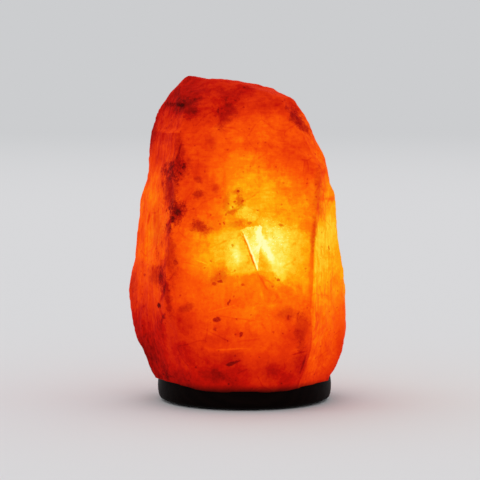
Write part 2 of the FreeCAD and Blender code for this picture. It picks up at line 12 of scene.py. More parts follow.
import bmesh
import bpy
import numpy as np
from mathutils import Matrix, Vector


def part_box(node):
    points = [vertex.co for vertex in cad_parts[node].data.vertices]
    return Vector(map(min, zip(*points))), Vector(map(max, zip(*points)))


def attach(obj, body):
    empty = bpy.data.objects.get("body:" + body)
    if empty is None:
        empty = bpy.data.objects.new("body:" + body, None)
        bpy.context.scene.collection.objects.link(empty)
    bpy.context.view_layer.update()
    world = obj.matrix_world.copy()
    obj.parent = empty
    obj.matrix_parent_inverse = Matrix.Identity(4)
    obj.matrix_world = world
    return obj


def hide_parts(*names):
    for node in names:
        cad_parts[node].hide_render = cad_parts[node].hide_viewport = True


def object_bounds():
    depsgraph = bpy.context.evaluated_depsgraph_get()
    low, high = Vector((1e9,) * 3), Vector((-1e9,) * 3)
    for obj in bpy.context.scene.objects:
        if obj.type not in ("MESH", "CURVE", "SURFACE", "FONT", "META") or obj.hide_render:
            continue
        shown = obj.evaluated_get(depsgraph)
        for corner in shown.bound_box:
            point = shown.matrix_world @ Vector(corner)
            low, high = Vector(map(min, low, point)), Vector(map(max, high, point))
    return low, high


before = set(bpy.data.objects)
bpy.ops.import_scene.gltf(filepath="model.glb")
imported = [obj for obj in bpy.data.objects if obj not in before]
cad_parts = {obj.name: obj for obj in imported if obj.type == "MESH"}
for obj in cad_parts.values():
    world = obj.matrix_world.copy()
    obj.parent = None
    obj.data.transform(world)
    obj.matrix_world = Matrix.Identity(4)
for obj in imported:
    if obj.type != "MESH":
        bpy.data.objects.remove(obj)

cad_low, cad_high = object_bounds()
MM = 0.001
cad_size = [round((high - low) / MM, 1) for low, high in zip(cad_low, cad_high)]
print("packed solids:", len(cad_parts), "box in mm:", cad_size)

# %% [markdown]
# ## Working by hand, in code
# The shapes are made with the tools that a person would use in Edit Mode. An operator acts on whatever is
# selected, so one helper takes a single piece in hand, and another selects points, edges or faces by their
# place.

# %% Taking a piece in hand


def take_up(piece):
    """Make one piece the only selected one, and the active one."""
    bpy.ops.object.select_all(action="DESELECT")
    piece.select_set(True)
    bpy.context.view_layer.objects.active = piece


@contextmanager
def editing(piece, mode="VERT"):
    """Edit Mode on one piece, with nothing selected at the start."""
    take_up(piece)
    bpy.ops.object.mode_set(mode="EDIT")
    bpy.ops.mesh.select_mode(type=mode)
    bpy.ops.mesh.select_all(action="DESELECT")
    yield
    bpy.ops.object.mode_set(mode="OBJECT")


def choose(kind, test):
    """In Edit Mode, select the verts, edges or faces that pass a test."""
    mesh = bmesh.from_edit_mesh(bpy.context.object.data)
    bpy.ops.mesh.select_all(action="DESELECT")
    for item in getattr(mesh, kind):
        if test(item):
            item.select_set(True)
    bmesh.update_edit_mesh(bpy.context.object.data)


def apply_modifier(piece, kind, **settings):
    """Add a modifier with these settings and apply it at once."""
    take_up(piece)
    modifier = piece.modifiers.new(kind.lower(), kind)
    for name, value in settings.items():
        setattr(modifier, name, value)
    bpy.ops.object.modifier_apply(modifier=modifier.name)


def points_of(piece):
    """The piece's vertex places in millimetres, one row each."""
    places = np.empty(len(piece.data.vertices) * 3)
    piece.data.vertices.foreach_get("co", places)
    return places.reshape(-1, 3) / MM


def count(piece):
    print(f"{piece.name}: {len(piece.data.vertices)} points, {len(piece.data.polygons)} faces")


# %% [markdown]
# ## Arithmetic on shader sockets
# A pattern is easier to read as a sum than as a web of nodes. `Wire` holds one output socket, and its
# operators add the Math nodes. Every other node comes from one method, `Finish.node`, which sets the node's
# own settings first and then the values or links of its sockets.

# %% A finish and its wires

finishes = {}           # every finish, by its name


class Wire:
    """One output socket that can be added to, taken away from, multiplied and divided."""

    def __init__(self, finish, socket):
        self.finish = finish
        self.socket = socket

    def math(self, operation, first, second):
        return self.finish.node("ShaderNodeMath", {"operation": operation}, {0: first, 1: second})

    def __add__(self, other):
        return self.math("ADD", self, other)

    def __radd__(self, other):
        return self.math("ADD", other, self)

    def __sub__(self, other):
        return self.math("SUBTRACT", self, other)

    def __rsub__(self, other):
        return self.math("SUBTRACT", other, self)

    def __mul__(self, other):
        return self.math("MULTIPLY", self, other)

    def __rmul__(self, other):
        return self.math("MULTIPLY", other, self)

    def __truediv__(self, other):
        return self.math("DIVIDE", self, other)

    def step(self, low, high):
        """0 below low, 1 above high and a smooth rise between; low may be the greater one."""
        sockets = {"Value": self, "From Min": low, "From Max": high}
        return self.finish.node("ShaderNodeMapRange", {"interpolation_type": "SMOOTHSTEP"}, sockets)

    def held(self, low=0.0, high=1.0):
        """The value, kept between two limits."""
        return self.finish.node("ShaderNodeClamp", {}, {"Value": self, "Min": low, "Max": high})


class Finish:
    """A material, its node tree and its shader."""

    def __init__(self, name):
        self.material = bpy.data.materials.new(name)
        self.material.use_nodes = True
        self.tree = self.material.node_tree
        self.shader = self.tree.nodes["Principled BSDF"]
        finishes[name] = self

    def node(self, kind, settings=None, sockets=None, output=0):
        """Add any node: its own settings first, then values or wires for its sockets."""
        made = self.tree.nodes.new(kind)
        for name, value in (settings or {}).items():
            if name == "stops":
                self.set_stops(made.color_ramp.elements, value)
            elif name == "curve":
                self.set_curve(made.mapping, value)
            else:
                setattr(made, name, value)
        for name, value in (sockets or {}).items():
            self.feed(made.inputs[name], value)
        return Wire(self, made.outputs[output])

    def set_stops(self, elements, stops):
        while len(elements) < len(stops):
            elements.new(1.0)
        for element, (position, colour) in zip(elements, stops):
            element.position = position
            element.color = colour

    def set_curve(self, mapping, points):
        line = mapping.curves[0].points
        while len(line) < len(points):
            line.new(1.0, 1.0)
        for point, place in zip(line, points):
            point.location = place
        mapping.update()

    def feed(self, socket, value):
        if isinstance(value, Wire):
            self.tree.links.new(value.socket, socket)
        else:
            socket.default_value = value

    def set(self, **sockets):
        """Feed the shader's own sockets, spaces written as underscores."""
        for name, value in sockets.items():
            self.feed(self.shader.inputs[name.replace("_", " ")], value)

    def vector(self, operation, *values, output=0):
        """Arithmetic on places, directions and colours."""
        return self.node("ShaderNodeVectorMath", {"operation": operation}, dict(enumerate(values)), output)

    def place(self):
        """Where a point lies on the object, in millimetres."""
        spot = self.node("ShaderNodeTexCoord", output="Object")
        return self.stretch(spot, (1 / MM, 1 / MM, 1 / MM))

    def stretch(self, spot, factors):
        return self.vector("MULTIPLY", spot, factors)

    def axis(self, spot, name):
        return self.node("ShaderNodeSeparateXYZ", {}, {"Vector": spot}, output=name)

    def noise(self, spot, size, detail=2.0, roughness=0.5, output="Fac"):
        """Cloudy noise around 0.5, with clouds of about this size."""
        sockets = {"Vector": spot, "Scale": 1 / size, "Detail": detail, "Roughness": roughness}
        return self.node("ShaderNodeTexNoise", {}, sockets, output)

    def cells(self, spot, size, output="Distance", feature="F1"):
        """Voronoi cells of about this size."""
        sockets = {"Vector": spot, "Scale": 1 / size}
        return self.node("ShaderNodeTexVoronoi", {"feature": feature}, sockets, output)

    def warped(self, spot, size, reach):
        """The place, pushed about by noise so that no edge stays straight."""
        cloud = self.noise(spot, size, output="Color")
        centred = self.vector("SUBTRACT", cloud, (0.5, 0.5, 0.5))
        return self.vector("ADD", spot, self.stretch(centred, (reach, reach, reach)))

    def mixed(self, factor, first, second):
        """One colour fading to another."""
        sockets = {0: factor, 6: first, 7: second}
        return self.node("ShaderNodeMix", {"data_type": "RGBA"}, sockets, output=2)

    def ramp(self, value, stops):
        return self.node("ShaderNodeValToRGB", {"stops": stops}, {"Fac": value})

    def bump(self, height, strength, distance):
        sockets = {"Height": height, "Strength": strength, "Distance": distance}
        return self.node("ShaderNodeBump", {}, sockets)


def tint(red, green, blue):
    """A colour written as on a screen, 0 to 255, for a shader's linear socket."""
    levels = [level / 255 for level in (red, green, blue)]
    return [c / 12.92 if c <= 0.04045 else ((c + 0.055) / 1.055) ** 2.4 for c in levels] + [1.0]


def dress(piece, finish):
    """Give a piece the finish of this name, and no other."""
    piece.data.materials.clear()
    piece.data.materials.append(finishes[finish].material)


def finished(piece, body, slot, node, crease=35.0):
    """Smooth a piece up to its creases, give it its slot's finish and put it in its node's place."""
    take_up(piece)
    bpy.ops.object.shade_smooth_by_angle(angle=math.radians(crease))
    dress(piece, slot)
    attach(piece, body)
    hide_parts(node)
    count(piece)


# %% [markdown]
# ## The crystal's shape
# Rock salt splits along flat cleavage faces, and a hewn block shows them with chips and low steps between.
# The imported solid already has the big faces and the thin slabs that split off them. A fine even skin is
# laid over a copy of it with a voxel remesh, and four reliefs weather that skin: broad hollows, splinters
# drawn out along the height, small chips and a fine grain. The bore and the seat stay true, because the
# lampholder and the base fit them.

# %% Lay an even skin over the hewn block

WELD = 0.002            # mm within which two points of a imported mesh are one
SKIN_STEP = 1.1         # mm between points of the skin


def copy_of(node, name):
    """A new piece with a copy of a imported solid's mesh, its loose triangles merged."""
    piece = bpy.data.objects.new(name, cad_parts[node].data.copy())
    bpy.context.scene.collection.objects.link(piece)
    take_up(piece)
    bpy.ops.mesh.customdata_custom_splitnormals_clear()
    with editing(piece):
        bpy.ops.mesh.select_all(action="SELECT")
        bpy.ops.mesh.remove_doubles(threshold=WELD * MM)
    return piece


crystal = copy_of("salt_crystal", "hewn_crystal")
apply_modifier(crystal, "REMESH", mode="VOXEL", voxel_size=SKIN_STEP * MM)
apply_modifier(crystal, "SMOOTH", factor=0.5, iterations=1)
count(crystal)

# %% Mark the skin that may be weathered

BORE_FADE = (29.0, 33.0)        # mm from the axis between which weathering sets in, up to the bore's end
ROOF_FADE = (124.0, 128.0)      # mm above the table between which it sets in over the bore's end
SEAT_FADE = (16.0, 23.0)        # mm above the table between which it sets in over the seat
LEAST_SHARE = 0.01              # a point with less than this is left alone


def rise(value, low, high):
    """0 at low, 1 at high and a smooth rise between; low may be the greater one."""
    share = np.clip((value - low) / (high - low), 0, 1)
    return share * share * (3 - 2 * share)


x, y, z = points_of(crystal).T
outside = np.maximum(rise(np.hypot(x, y), *BORE_FADE), rise(z, *ROOF_FADE))
weight = outside * rise(z, *SEAT_FADE)
skin = crystal.vertex_groups.new(name="skin")
for index in np.flatnonzero(weight > LEAST_SHARE):
    skin.add([int(index)], float(weight[index]), "REPLACE")
print("weathered share of the skin:", round(float(weight.mean()), 2))

# %% Weather the skin


def weather(piece, kind, grain, depth, stretch=1.0, **settings):
    """Raise and sink the skin by a cloudy relief; stretch draws its grains out along the height."""
    pattern = bpy.data.textures.new(f"{kind} {grain}", kind)
    pattern.noise_scale = grain * MM
    for name, value in settings.items():
        setattr(pattern, name, value)
    ruler = bpy.data.objects.new("ruler", None)
    ruler.scale = (1, 1, stretch)
    bpy.context.scene.collection.objects.link(ruler)
    bpy.context.view_layer.update()
    apply_modifier(
        piece, "DISPLACE", texture=pattern, texture_coords="OBJECT", texture_coords_object=ruler,
        vertex_group="skin", strength=depth * MM, mid_level=0.5,
    )
    bpy.data.objects.remove(ruler)


weather(crystal, "CLOUDS", grain=26.0, depth=1.7, noise_depth=2)
weather(crystal, "CLOUDS", grain=7.0, depth=1.3, stretch=2.6, noise_depth=2)
weather(crystal, "VORONOI", grain=9.0, depth=1.1, stretch=1.6)
weather(crystal, "CLOUDS", grain=2.6, depth=0.5, noise_depth=1)

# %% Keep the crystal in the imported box

low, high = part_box("salt_crystal")
weathered = points_of(crystal) * MM
inside = np.clip(weathered, np.array(low), np.array(high))
crystal.data.vertices.foreach_set("co", inside.ravel())
crystal.data.update()
print("points moved back into the box:", int((inside != weathered).any(axis=1).sum()))

# %% [markdown]
# ## The crystal's glow
# The salt soaks up blue and green light first, so light that comes a long way through it is deep red and
# light that comes a short way is yellow. One number, the glow, therefore gives the colour everywhere: a
# ramp turns it from dark red through orange to pale yellow. Volume scattering would make the same light
# slowly and with much noise, so the light is given to the skin as emission. The glow falls off with the
# distance from the bulb, and clouds, veins, cleavage faces and grit change it.

# %% Colours of light through salt

THROUGH_SALT = (
    (0.00, tint(60, 0, 0)),
    (0.12, tint(140, 3, 2)),
    (0.25, tint(190, 14, 3)),
    (0.40, tint(228, 52, 3)),
    (0.52, tint(248, 82, 2)),
    (0.64, tint(252, 120, 2)),
    (0.76, tint(252, 170, 6)),
    (0.86, tint(252, 212, 48)),
    (0.95, tint(252, 242, 110)),
    (1.00, tint(254, 252, 175)),
)
MUD = tint(70, 12, 6)
SEAT_SHADE = tint(22, 3, 2)     # where the salt sits on the base

GLOW_REACH = 100.0      # mm
# Distance from the glow's centre as a share of that reach, against glow
FALL_OFF = (
    (0.0, 0.90), (0.50, 0.76), (0.60, 0.67), (0.70, 0.555),
    (0.78, 0.47), (0.87, 0.36), (0.96, 0.27), (1.0, 0.24),
)
GLOW_CENTRE = (8.0, 0.0, 99.0)
# Painted light: the direction from which the relief seems lit, up and a little to the right.
FACET_LIGHT = (0.15, 0.0, 0.6)  # faces that look this way are lit more

# %% [markdown]
# The front is what one looks at, so its stains, cracks and ridges are placed one by one. A stain is an
# ellipse
# on the front: its centre (x, z), its half width and half height, its tilt in degrees, and how dark it is.
# Noise frays its edge and opens holes in it, so that it looks like mud that was trapped in the salt. A
# shade is a wide soft one, with what it adds to the glow, and a spot is a small dark grain.

# %% Stains and clouds on the front

STAINS = {
    "left brow": (-33.0, 176.5, 10.0, 7.0, 15.0, 0.24),
    "crown, left": (-29.0, 186.0, 14.0, 9.0, 0.0, 0.09),
    "crown, middle": (-9.0, 184.0, 10.0, 5.0, 0.0, 0.13),
    "smear under the crown": (-10.0, 172.0, 6.5, 11.0, -20.0, 0.22),
    "right brow": (31.5, 169.0, 12.0, 4.5, -48.0, 0.34),
    "vein, upper end": (-38.0, 151.0, 3.5, 13.0, 0.0, 0.16),
    "vein, fork": (-39.0, 141.0, 9.0, 8.0, 0.0, 0.22),
    "vein, middle": (-43.0, 129.0, 6.0, 16.0, 0.0, 0.32),
    "vein, knot": (-39.5, 117.0, 5.5, 9.0, -20.0, 0.46),
    "strip beside the knot": (-51.5, 104.0, 4.5, 16.0, 0.0, 0.12),
    "vein, tail": (-43.5, 109.0, 1.8, 7.0, -15.0, 0.26),
    "ridge, waist": (-43.0, 92.0, 4.5, 20.0, 6.0, 0.20),
    "ridge, hip": (-46.5, 72.0, 3.5, 20.0, 12.0, 0.24),
    "stain beside the hip": (-52.0, 78.0, 5.0, 8.0, 0.0, 0.20),
    "left border": (-67.0, 70.0, 3.0, 9.0, 0.0, 0.12),
    "left shoulder": (-56.0, 160.0, 5.0, 16.0, -10.0, 0.22),
    "grey patch, waist": (-25.0, 107.5, 6.0, 4.5, -20.0, 0.36),
    "spot over the patch": (-26.6, 126.0, 4.0, 3.2, 0.0, 0.26),
    "faint spot over it": (-26.3, 134.0, 2.8, 2.0, 0.0, 0.16),
    "faint spot beside it": (-18.0, 130.0, 2.6, 4.5, 0.0, 0.12),
    "faint spot in the field": (-19.0, 157.0, 4.0, 5.0, 0.0, 0.07),
    "stain, low left": (-34.0, 60.0, 5.0, 3.5, 10.0, 0.17),
    "stain, low middle": (-16.0, 77.5, 6.5, 4.0, 25.0, 0.16),
    "stain, low right": (25.0, 56.5, 8.0, 4.0, 0.0, 0.15),
    "stain at the right ridge": (33.5, 48.0, 5.0, 13.0, 0.0, 0.16),
    "foot, left of the middle": (-18.0, 22.0, 11.0, 5.0, 0.0, 0.12),
    "foot, under the chip": (-8.0, 31.0, 9.0, 5.0, 10.0, 0.10),
    "foot, right of the middle": (16.0, 23.0, 7.0, 6.0, 0.0, 0.10),
    "foot, at the ridge": (32.0, 28.0, 5.0, 8.0, 0.0, 0.10),
    "right ridge, shoulder": (43.0, 128.0, 2.5, 19.0, 0.0, 0.14),
    "right ridge, waist": (40.0, 103.0, 2.0, 13.0, 0.0, 0.18),
    "ring, left": (-10.5, 121.0, 3.0, 6.0, 0.0, 0.12),
    "ring, right": (-2.0, 122.5, 3.0, 6.5, 10.0, 0.24),
    "ring, top": (-5.0, 128.0, 5.0, 2.2, 10.0, 0.14),
    "ring, foot": (-7.0, 116.5, 5.5, 2.0, 15.0, 0.20),
    "brown edge over the pane": (-4.0, 109.5, 6.0, 2.5, 15.0, 0.10),
}

SHADES = {
    "left foot": (-58.0, 44.0, 24.0, 32.0, 10.0, -0.03),
    "left of the middle": (-24.0, 130.0, 15.0, 32.0, 0.0, -0.12),
    "right brow, inner": (30.0, 146.0, 24.0, 22.0, 0.0, -0.09),
    "top": (0.0, 184.0, 46.0, 18.0, 0.0, -0.07),
    "foot": (4.0, 42.0, 56.0, 44.0, 0.0, 0.07),
    "white stripe": (11.8, 96.0, 3.0, 12.0, 24.0, 0.11),
    "white of the stripe": (10.9, 98.5, 1.8, 5.0, 20.0, 0.08),
    "right pane": (18.0, 93.0, 16.0, 19.0, 20.0, 0.09),
    "over the heart": (18.0, 121.0, 20.0, 13.0, 0.0, -0.09),
    "under the right pane": (33.0, 80.0, 11.0, 14.0, 0.0, 0.07),
    "waist, left": (-26.0, 94.0, 12.0, 17.0, 0.0, 0.11),
    "right strip, foot": (46.0, 29.0, 12.0, 17.0, 0.0, 0.10),
    "spot in the left pane": (-3.2, 90.5, 4.5, 6.5, 20.0, 0.07),
    "wedge": (9.6, 88.0, 3.4, 7.0, 8.0, -0.06),
}

SPOTS = {
    "at the vein's fork": (-35.0, 142.0, 1.0, 2.0, 0.0, 0.25),
    "in the vein's knot": (-39.0, 115.5, 3.0, 2.2, 0.0, 0.20),
    "hip": (-50.0, 61.0, 1.3, 1.7, 0.0, 0.45),
    "under the hip": (-47.5, 54.0, 1.0, 3.5, -20.0, 0.18),
    "waist": (-40.0, 87.0, 1.3, 1.8, 0.0, 0.18),
    "heart of the low stain": (-14.0, 76.5, 1.6, 1.1, 0.0, 0.28),
    "tail of the low stain": (-17.5, 75.0, 1.2, 0.8, 0.0, 0.18),
    "red fleck": (-16.0, 54.0, 2.2, 1.6, 20.0, 0.32),
    "red fleck below": (-17.0, 48.5, 1.0, 1.0, 0.0, 0.20),
    "fleck, middle": (-2.0, 45.5, 1.0, 1.6, -20.0, 0.25),
    "comma": (-9.0, 64.0, 0.7, 2.0, -20.0, 0.28),
    "dot, middle": (-1.0, 74.0, 1.0, 1.0, 0.0, 0.16),
    "dot at the pane's corner": (19.5, 77.0, 1.0, 0.8, 0.0, 0.30),
    "dot under the pane": (16.0, 73.5, 0.8, 0.8, 0.0, 0.18),
    "long chip at the foot": (-7.0, 28.5, 4.5, 1.0, 20.0, 0.22),
    "dot over the waist": (-12.0, 109.5, 0.6, 1.1, 0.0, 0.25),
    "dot under the crown": (-15.5, 174.0, 0.9, 1.2, 0.0, 0.14),
    "dot on the left strip": (-59.0, 77.0, 0.9, 0.9, 0.0, 0.16),
    "ring's top dot": (-3.8, 127.6, 0.9, 0.7, 0.0, 0.26),
    "ring's right dot": (-1.3, 122.4, 0.7, 0.8, 0.0, 0.24),
    "ring's middle dot": (-5.9, 121.8, 0.7, 0.5, 0.0, 0.20),
    "ring's left dot": (-9.6, 120.7, 0.6, 0.6, 0.0, 0.20),
    "ring's low dot": (-6.7, 118.4, 0.7, 0.6, 0.0, 0.24),
    "dot left of the ring": (-10.7, 114.9, 0.9, 0.6, 20.0, 0.18),
    "dot over the flag": (7.6, 116.7, 0.7, 0.6, 0.0, 0.24),
    "dot in the left pane": (-7.3, 96.6, 0.6, 0.6, 0.0, 0.18),
    "fleck right of the heart": (21.0, 108.5, 1.6, 0.9, -20.0, 0.16),
    "fleck by the brown edge": (2.5, 109.5, 1.5, 0.9, 20.0, 0.16),
    "fleck on the right strip": (49.0, 94.0, 0.6, 1.4, 0.0, 0.18),
    "dot at the stain": (25.0, 55.0, 0.9, 1.6, 0.0, 0.14),
}

# %% [markdown]
# Cleavage shows as straight edges. A pane is a flat stretch of skin in front of the bulb: its corners (x,
# z) in clockwise order, how soft its edge is in millimetres, and what it adds to the glow. Each crack is a
# hair line from one point (x, z) to another, with its half width and what it adds. Two ridges run down the
# front, and beyond each the salt is thinner. A ridge is a list of heights, each with the ridge's x there.

# %% Panes in front of the bulb

PANES = {
    "right of the long crack": (
        ((-2.6, 105.5), (1.0, 107.5), (10.0, 108.0), (9.5, 98.0), (7.0, 82.0)), 0.3, 0.15),
    "foot of that pane": (
        ((6.4, 83.5), (7.6, 89.5), (11.0, 86.0), (10.0, 82.6), (7.0, 82.0)), 0.3, 0.04),
    "right of the wedge": (
        ((8.6, 103.0), (9.5, 128.0), (39.0, 128.0), (39.0, 60.0), (20.0, 76.3), (17.0, 79.0)), 0.7, 0.04),
    "over the rim, near": (
        ((9.5, 100.0), (14.0, 107.0), (25.0, 101.0), (27.0, 84.0), (20.0, 76.3), (17.0, 79.0)), 2.2, 0.07),
    "left of the crack": (
        ((-10.0, 79.4), (-10.6, 96.0), (-3.0, 105.5), (6.6, 81.4), (1.0, 79.6), (-5.0, 78.4)), 1.3, 0.06),
    "left of that": (
        ((-20.0, 84.0), (-21.0, 102.5), (-10.0, 106.3), (-3.0, 105.5), (-4.0, 84.0)), 1.8, 0.08),
    "flag over the crack": (
        ((-5.4, 113.4), (-2.2, 120.3), (8.5, 115.6), (7.0, 111.4), (-2.5, 112.0)), 0.7, 0.07),
    "jagged light": (
        ((2.0, 108.0), (4.0, 114.5), (20.0, 113.0), (32.0, 106.0), (30.0, 100.0), (8.0, 104.0)), 3.0, 0.02),
    "slab under the crack": (
        ((-11.0, 60.0), (-12.0, 78.6), (7.0, 80.4), (13.0, 79.0), (22.0, 64.0)), 0.7, -0.06),
    "upright step": (
        ((-12.0, 118.0), (-12.0, 150.0), (34.0, 150.0), (38.0, 118.0)), 0.7, 0.04),
}

# %% Cracks and ridges

CRACKS = {
    "long crack": ((-2.6, 107.0), (7.5, 81.0), 0.5, -0.22),
    "long crack, lower end": ((7.5, 81.0), (14.0, 70.0), 0.5, -0.06),
    "bright lip of the crack": ((-1.2, 106.0), (8.8, 80.5), 0.5, 0.10),
    "vein's upper thread": ((-36.0, 158.0), (-40.0, 144.0), 0.5, -0.10),
    "hair line under the brow": ((-50.0, 161.0), (-34.0, 162.0), 0.35, 0.06),
    "hair line, left waist": ((-29.0, 89.0), (-20.0, 85.5), 0.35, 0.07),
    "low crack, left": ((-26.0, 50.0), (-6.0, 40.0), 0.45, -0.05),
    "low crack, right": ((-8.0, 40.5), (12.0, 43.5), 0.5, -0.04),
    "light over the foot": ((-19.0, 36.0), (3.0, 37.5), 0.5, 0.08),
    "low light, left": ((-22.0, 58.0), (-4.0, 63.0), 0.4, 0.05),
    "low light, right": ((26.0, 33.0), (37.0, 35.5), 0.5, -0.10),
    "foot crack": ((36.0, 34.0), (32.0, 20.0), 0.6, -0.12),
    "left strip crack": ((-56.0, 114.0), (-57.5, 106.0), 0.6, -0.12),
    "vein's dark thread": ((-42.5, 112.5), (-45.5, 107.0), 0.7, -0.18),
    "hip thread": ((-45.0, 76.0), (-50.0, 60.0), 0.7, -0.12),
    "thread below the hip": ((-50.0, 60.0), (-46.0, 52.0), 0.6, -0.08),
    "right pane's scratch": ((22.0, 84.0), (30.0, 89.0), 0.5, -0.05),
}

LEFT_RIDGE = ((10, -44), (40, -47), (55, -48), (70, -46), (83, -43.6), (97, -42.5), (116, -40.5), (130, -43),
              (148, -38.2), (164, -38), (180, -37), (192, -33))
RIGHT_RIDGE = ((10, 30), (20, 33.5), (30, 37), (36, 38.5), (60, 38.4), (76, 39.4), (100, 40.5), (118, 42.2),
               (129, 46.8), (137, 45.6), (149, 39.2), (160, 34), (180, 30))

# %% [markdown]
# ## Masks for the marks
# A mask is a value from 0 to 1 over the whole skin, 1 where its mark is. One function draws an ellipse, and
# a crack is a very narrow one. Another gives all that lies on one side of a line, and a pane is what lies
# on the inner side of all its lines.

# %% Draw the marks

THROUGH = 1e6           # mm, so that an ellipse on the front reaches through the whole crystal
CRACK_LENGTH = 1.1      # a crack's mask fades at its ends and its sides, so it is drawn larger by these
CRACK_WIDTH = 1.6
CURVE_SPAN = 200.0      # mm that the 0 to 1 of a curve stands for


def ellipse(finish, spot, x, z, half_width, half_height, tilt):
    """1 in the middle of an ellipse on the front, falling to 0 at its edge."""
    sockets = {
        "Vector": spot,
        "Location": (x, 0.0, z),
        "Rotation": (0.0, math.radians(-tilt), 0.0),
        "Scale": (half_width, THROUGH, half_height),
    }
    inner = finish.node("ShaderNodeMapping", {"vector_type": "TEXTURE"}, sockets)
    return finish.node("ShaderNodeTexGradient", {"gradient_type": "SPHERICAL"}, {"Vector": inner}, "Fac")


def crack(finish, spot, start, end, half_width):
    """1 along a hair line from start to end, tapered at its ends."""
    x, z = (start[0] + end[0]) / 2, (start[1] + end[1]) / 2
    half_length = math.dist(start, end) / 2
    tilt = math.degrees(math.atan2(end[1] - start[1], end[0] - start[0]))
    return ellipse(finish, spot, x, z, half_length * CRACK_LENGTH, half_width * CRACK_WIDTH, tilt)


def past_line(finish, spot, start, end, softness):
    """1 on the right of a line seen on the front as one goes from start to end, 0 on its left."""
    across = Vector((end[1] - start[1], start[0] - end[0])).normalized()
    reach = finish.vector("DOT_PRODUCT", spot, (across.x, 0.0, across.y), output="Value")
    edge = across.dot(Vector(start))
    return reach.step(edge - softness, edge + softness)


def past_ridge(finish, spot, ridge):
    """How far a point lies to the right of a ridge, in millimetres."""
    curve = [(z / CURVE_SPAN, 0.5 + x / CURVE_SPAN) for z, x in ridge]
    height = finish.axis(spot, "Z") / CURVE_SPAN
    line = finish.node("ShaderNodeFloatCurve", {"curve": curve}, {"Value": height})
    return finish.axis(spot, "X") - (line - 0.5) * CURVE_SPAN


def pane(finish, spot, corners, softness):
    """1 inside an outline with no inward corner, whose corners go round clockwise on the front."""
    mask = 1.0
    for start, end in zip(corners, corners[1:] + corners[:1]):
        mask = mask * past_line(finish, spot, start, end, softness)
    return mask


# %% [markdown]
# ## Building the salt's finish
# The finish grows from cell to cell. Every pattern in it reads a place on the object. A place that noise
# has pushed about gives ragged edges: in wide curls for clouds and stains, a little for cracks, and in
# small steps for chips and grit. The marks are meant for the front and fade out towards the back.

# %% Places that the patterns read

FRONT_FADE = (12.0, -4.0)       # mm along Y, from where the back ends to where the front starts

salt = Finish("rock_salt")
spot = salt.place()
loose = salt.warped(spot, size=14.0, reach=6.0)
crisp = salt.warped(spot, size=5.0, reach=1.0)
chipped = salt.warped(spot, size=2.4, reach=2.6)
jagged = salt.warped(spot, size=1.6, reach=1.6)
front = salt.axis(spot, "Y").step(*FRONT_FADE)
height = salt.axis(spot, "Z")

# %% Light from the bulb, and painted light from above

DIMMED = 0.244          # taken off the glow everywhere

away = salt.vector("DISTANCE", spot, GLOW_CENTRE, output="Value")
glow = salt.node("ShaderNodeFloatCurve", {"curve": FALL_OFF}, {"Value": away / GLOW_REACH})
normal = salt.node("ShaderNodeTexCoord", output="Normal")
outward = salt.vector("NORMALIZE", salt.vector("SUBTRACT", spot, GLOW_CENTRE))
facing = salt.vector("DOT_PRODUCT", normal, outward, output="Value")
# Painted light: faces that look along FACET_LIGHT get more glow, as if lit from above, so the relief shows.
painted_top_light = salt.vector("DOT_PRODUCT", normal, FACET_LIGHT, output="Value")
glow = glow + facing.held(0.6, 1.0) * 0.26 - DIMMED + painted_top_light * 0.12

# %% [markdown]
# A row of a table becomes a mask by one function. The mask falls off from the middle to the edge of its
# ellipse, so the ellipse is drawn larger than the row says, and `step` then makes a flat middle and a clear
# edge.

# %% Panes, shades and cracks

SHADE_SPREAD = 1.2
PANE_ROOM = (8.0, 94.0, 44.0, 64.0, 0.0)        # the ellipse round the bulb in which panes show


def drawn(spot, row, spread):
    """The mask of a row: the ellipse's centre, half width, half height and tilt."""
    x, z, half_width, half_height, tilt = row
    return ellipse(salt, spot, x, z, half_width * spread, half_height * spread, tilt)


seen = 0.0
for corners, softness, amount in PANES.values():
    seen = seen + pane(salt, chipped, corners, softness) * amount
seen = seen * drawn(loose, PANE_ROOM, 1.0).step(0.0, 0.55)
for *row, amount in SHADES.values():
    seen = seen + drawn(loose, row, SHADE_SPREAD).step(0.0, 0.8) * amount
for start, end, half_width, amount in CRACKS.values():
    seen = seen + crack(salt, crisp, start, end, half_width).step(0.0, 0.6) * amount
print(len(PANES), "panes,", len(SHADES), "shades,", len(CRACKS), "cracks")

# %% Mud in the salt

STAIN_SPREAD = 1.5
SPOT_SPREAD = 1.35
BACK_MUD = 0.20


def muddy(stain, fray):
    """A stain with a frayed edge and holes."""
    return (stain * 1.1 + fray).step(0.26, 0.90) * stain.step(0.0, 0.15)


fray = (salt.noise(spot, size=5.0, detail=9.0, roughness=0.80) - 0.5) * 2.3
mud = 0.0
for *row, depth in STAINS.values():
    mud = mud + muddy(drawn(loose, row, STAIN_SPREAD), fray) * depth
for *row, depth in SPOTS.values():
    mud = mud + drawn(chipped, row, SPOT_SPREAD).step(0.10, 0.5) * depth
mud = mud * (0.30 + salt.noise(jagged, size=1.3, detail=4.0, roughness=0.75) * 1.5)
elsewhere = salt.noise(spot, size=26.0) * 1.6 - 0.8
mud = mud * front + (elsewhere + fray * 0.6).step(0.05, 0.5) * (1 - front) * BACK_MUD
print(len(STAINS), "stains,", len(SPOTS), "spots")

# %% The ridges, and the strips beyond them

past_right = past_ridge(salt, crisp, RIGHT_RIDGE)
past_left = past_ridge(salt, crisp, LEFT_RIDGE)
right_strip = past_right.step(-0.5, 0.5) * past_right.step(18.0, 5.0)
left_strip = past_left.step(0.8, -0.8)
groove = past_right.step(-1.4, 0.0) * past_right.step(0.6, 0.0)
seen = seen + right_strip * height.step(128.0, 98.0) * 0.08 - left_strip * 0.02 - groove * 0.04

# %% [markdown]
# Beyond the ridges the salt breaks into upright splinters, and between them it shows level layers. Both are
# noise that is drawn out along one axis, by shrinking the place along it before the noise reads it.

# %% Splinters and layers

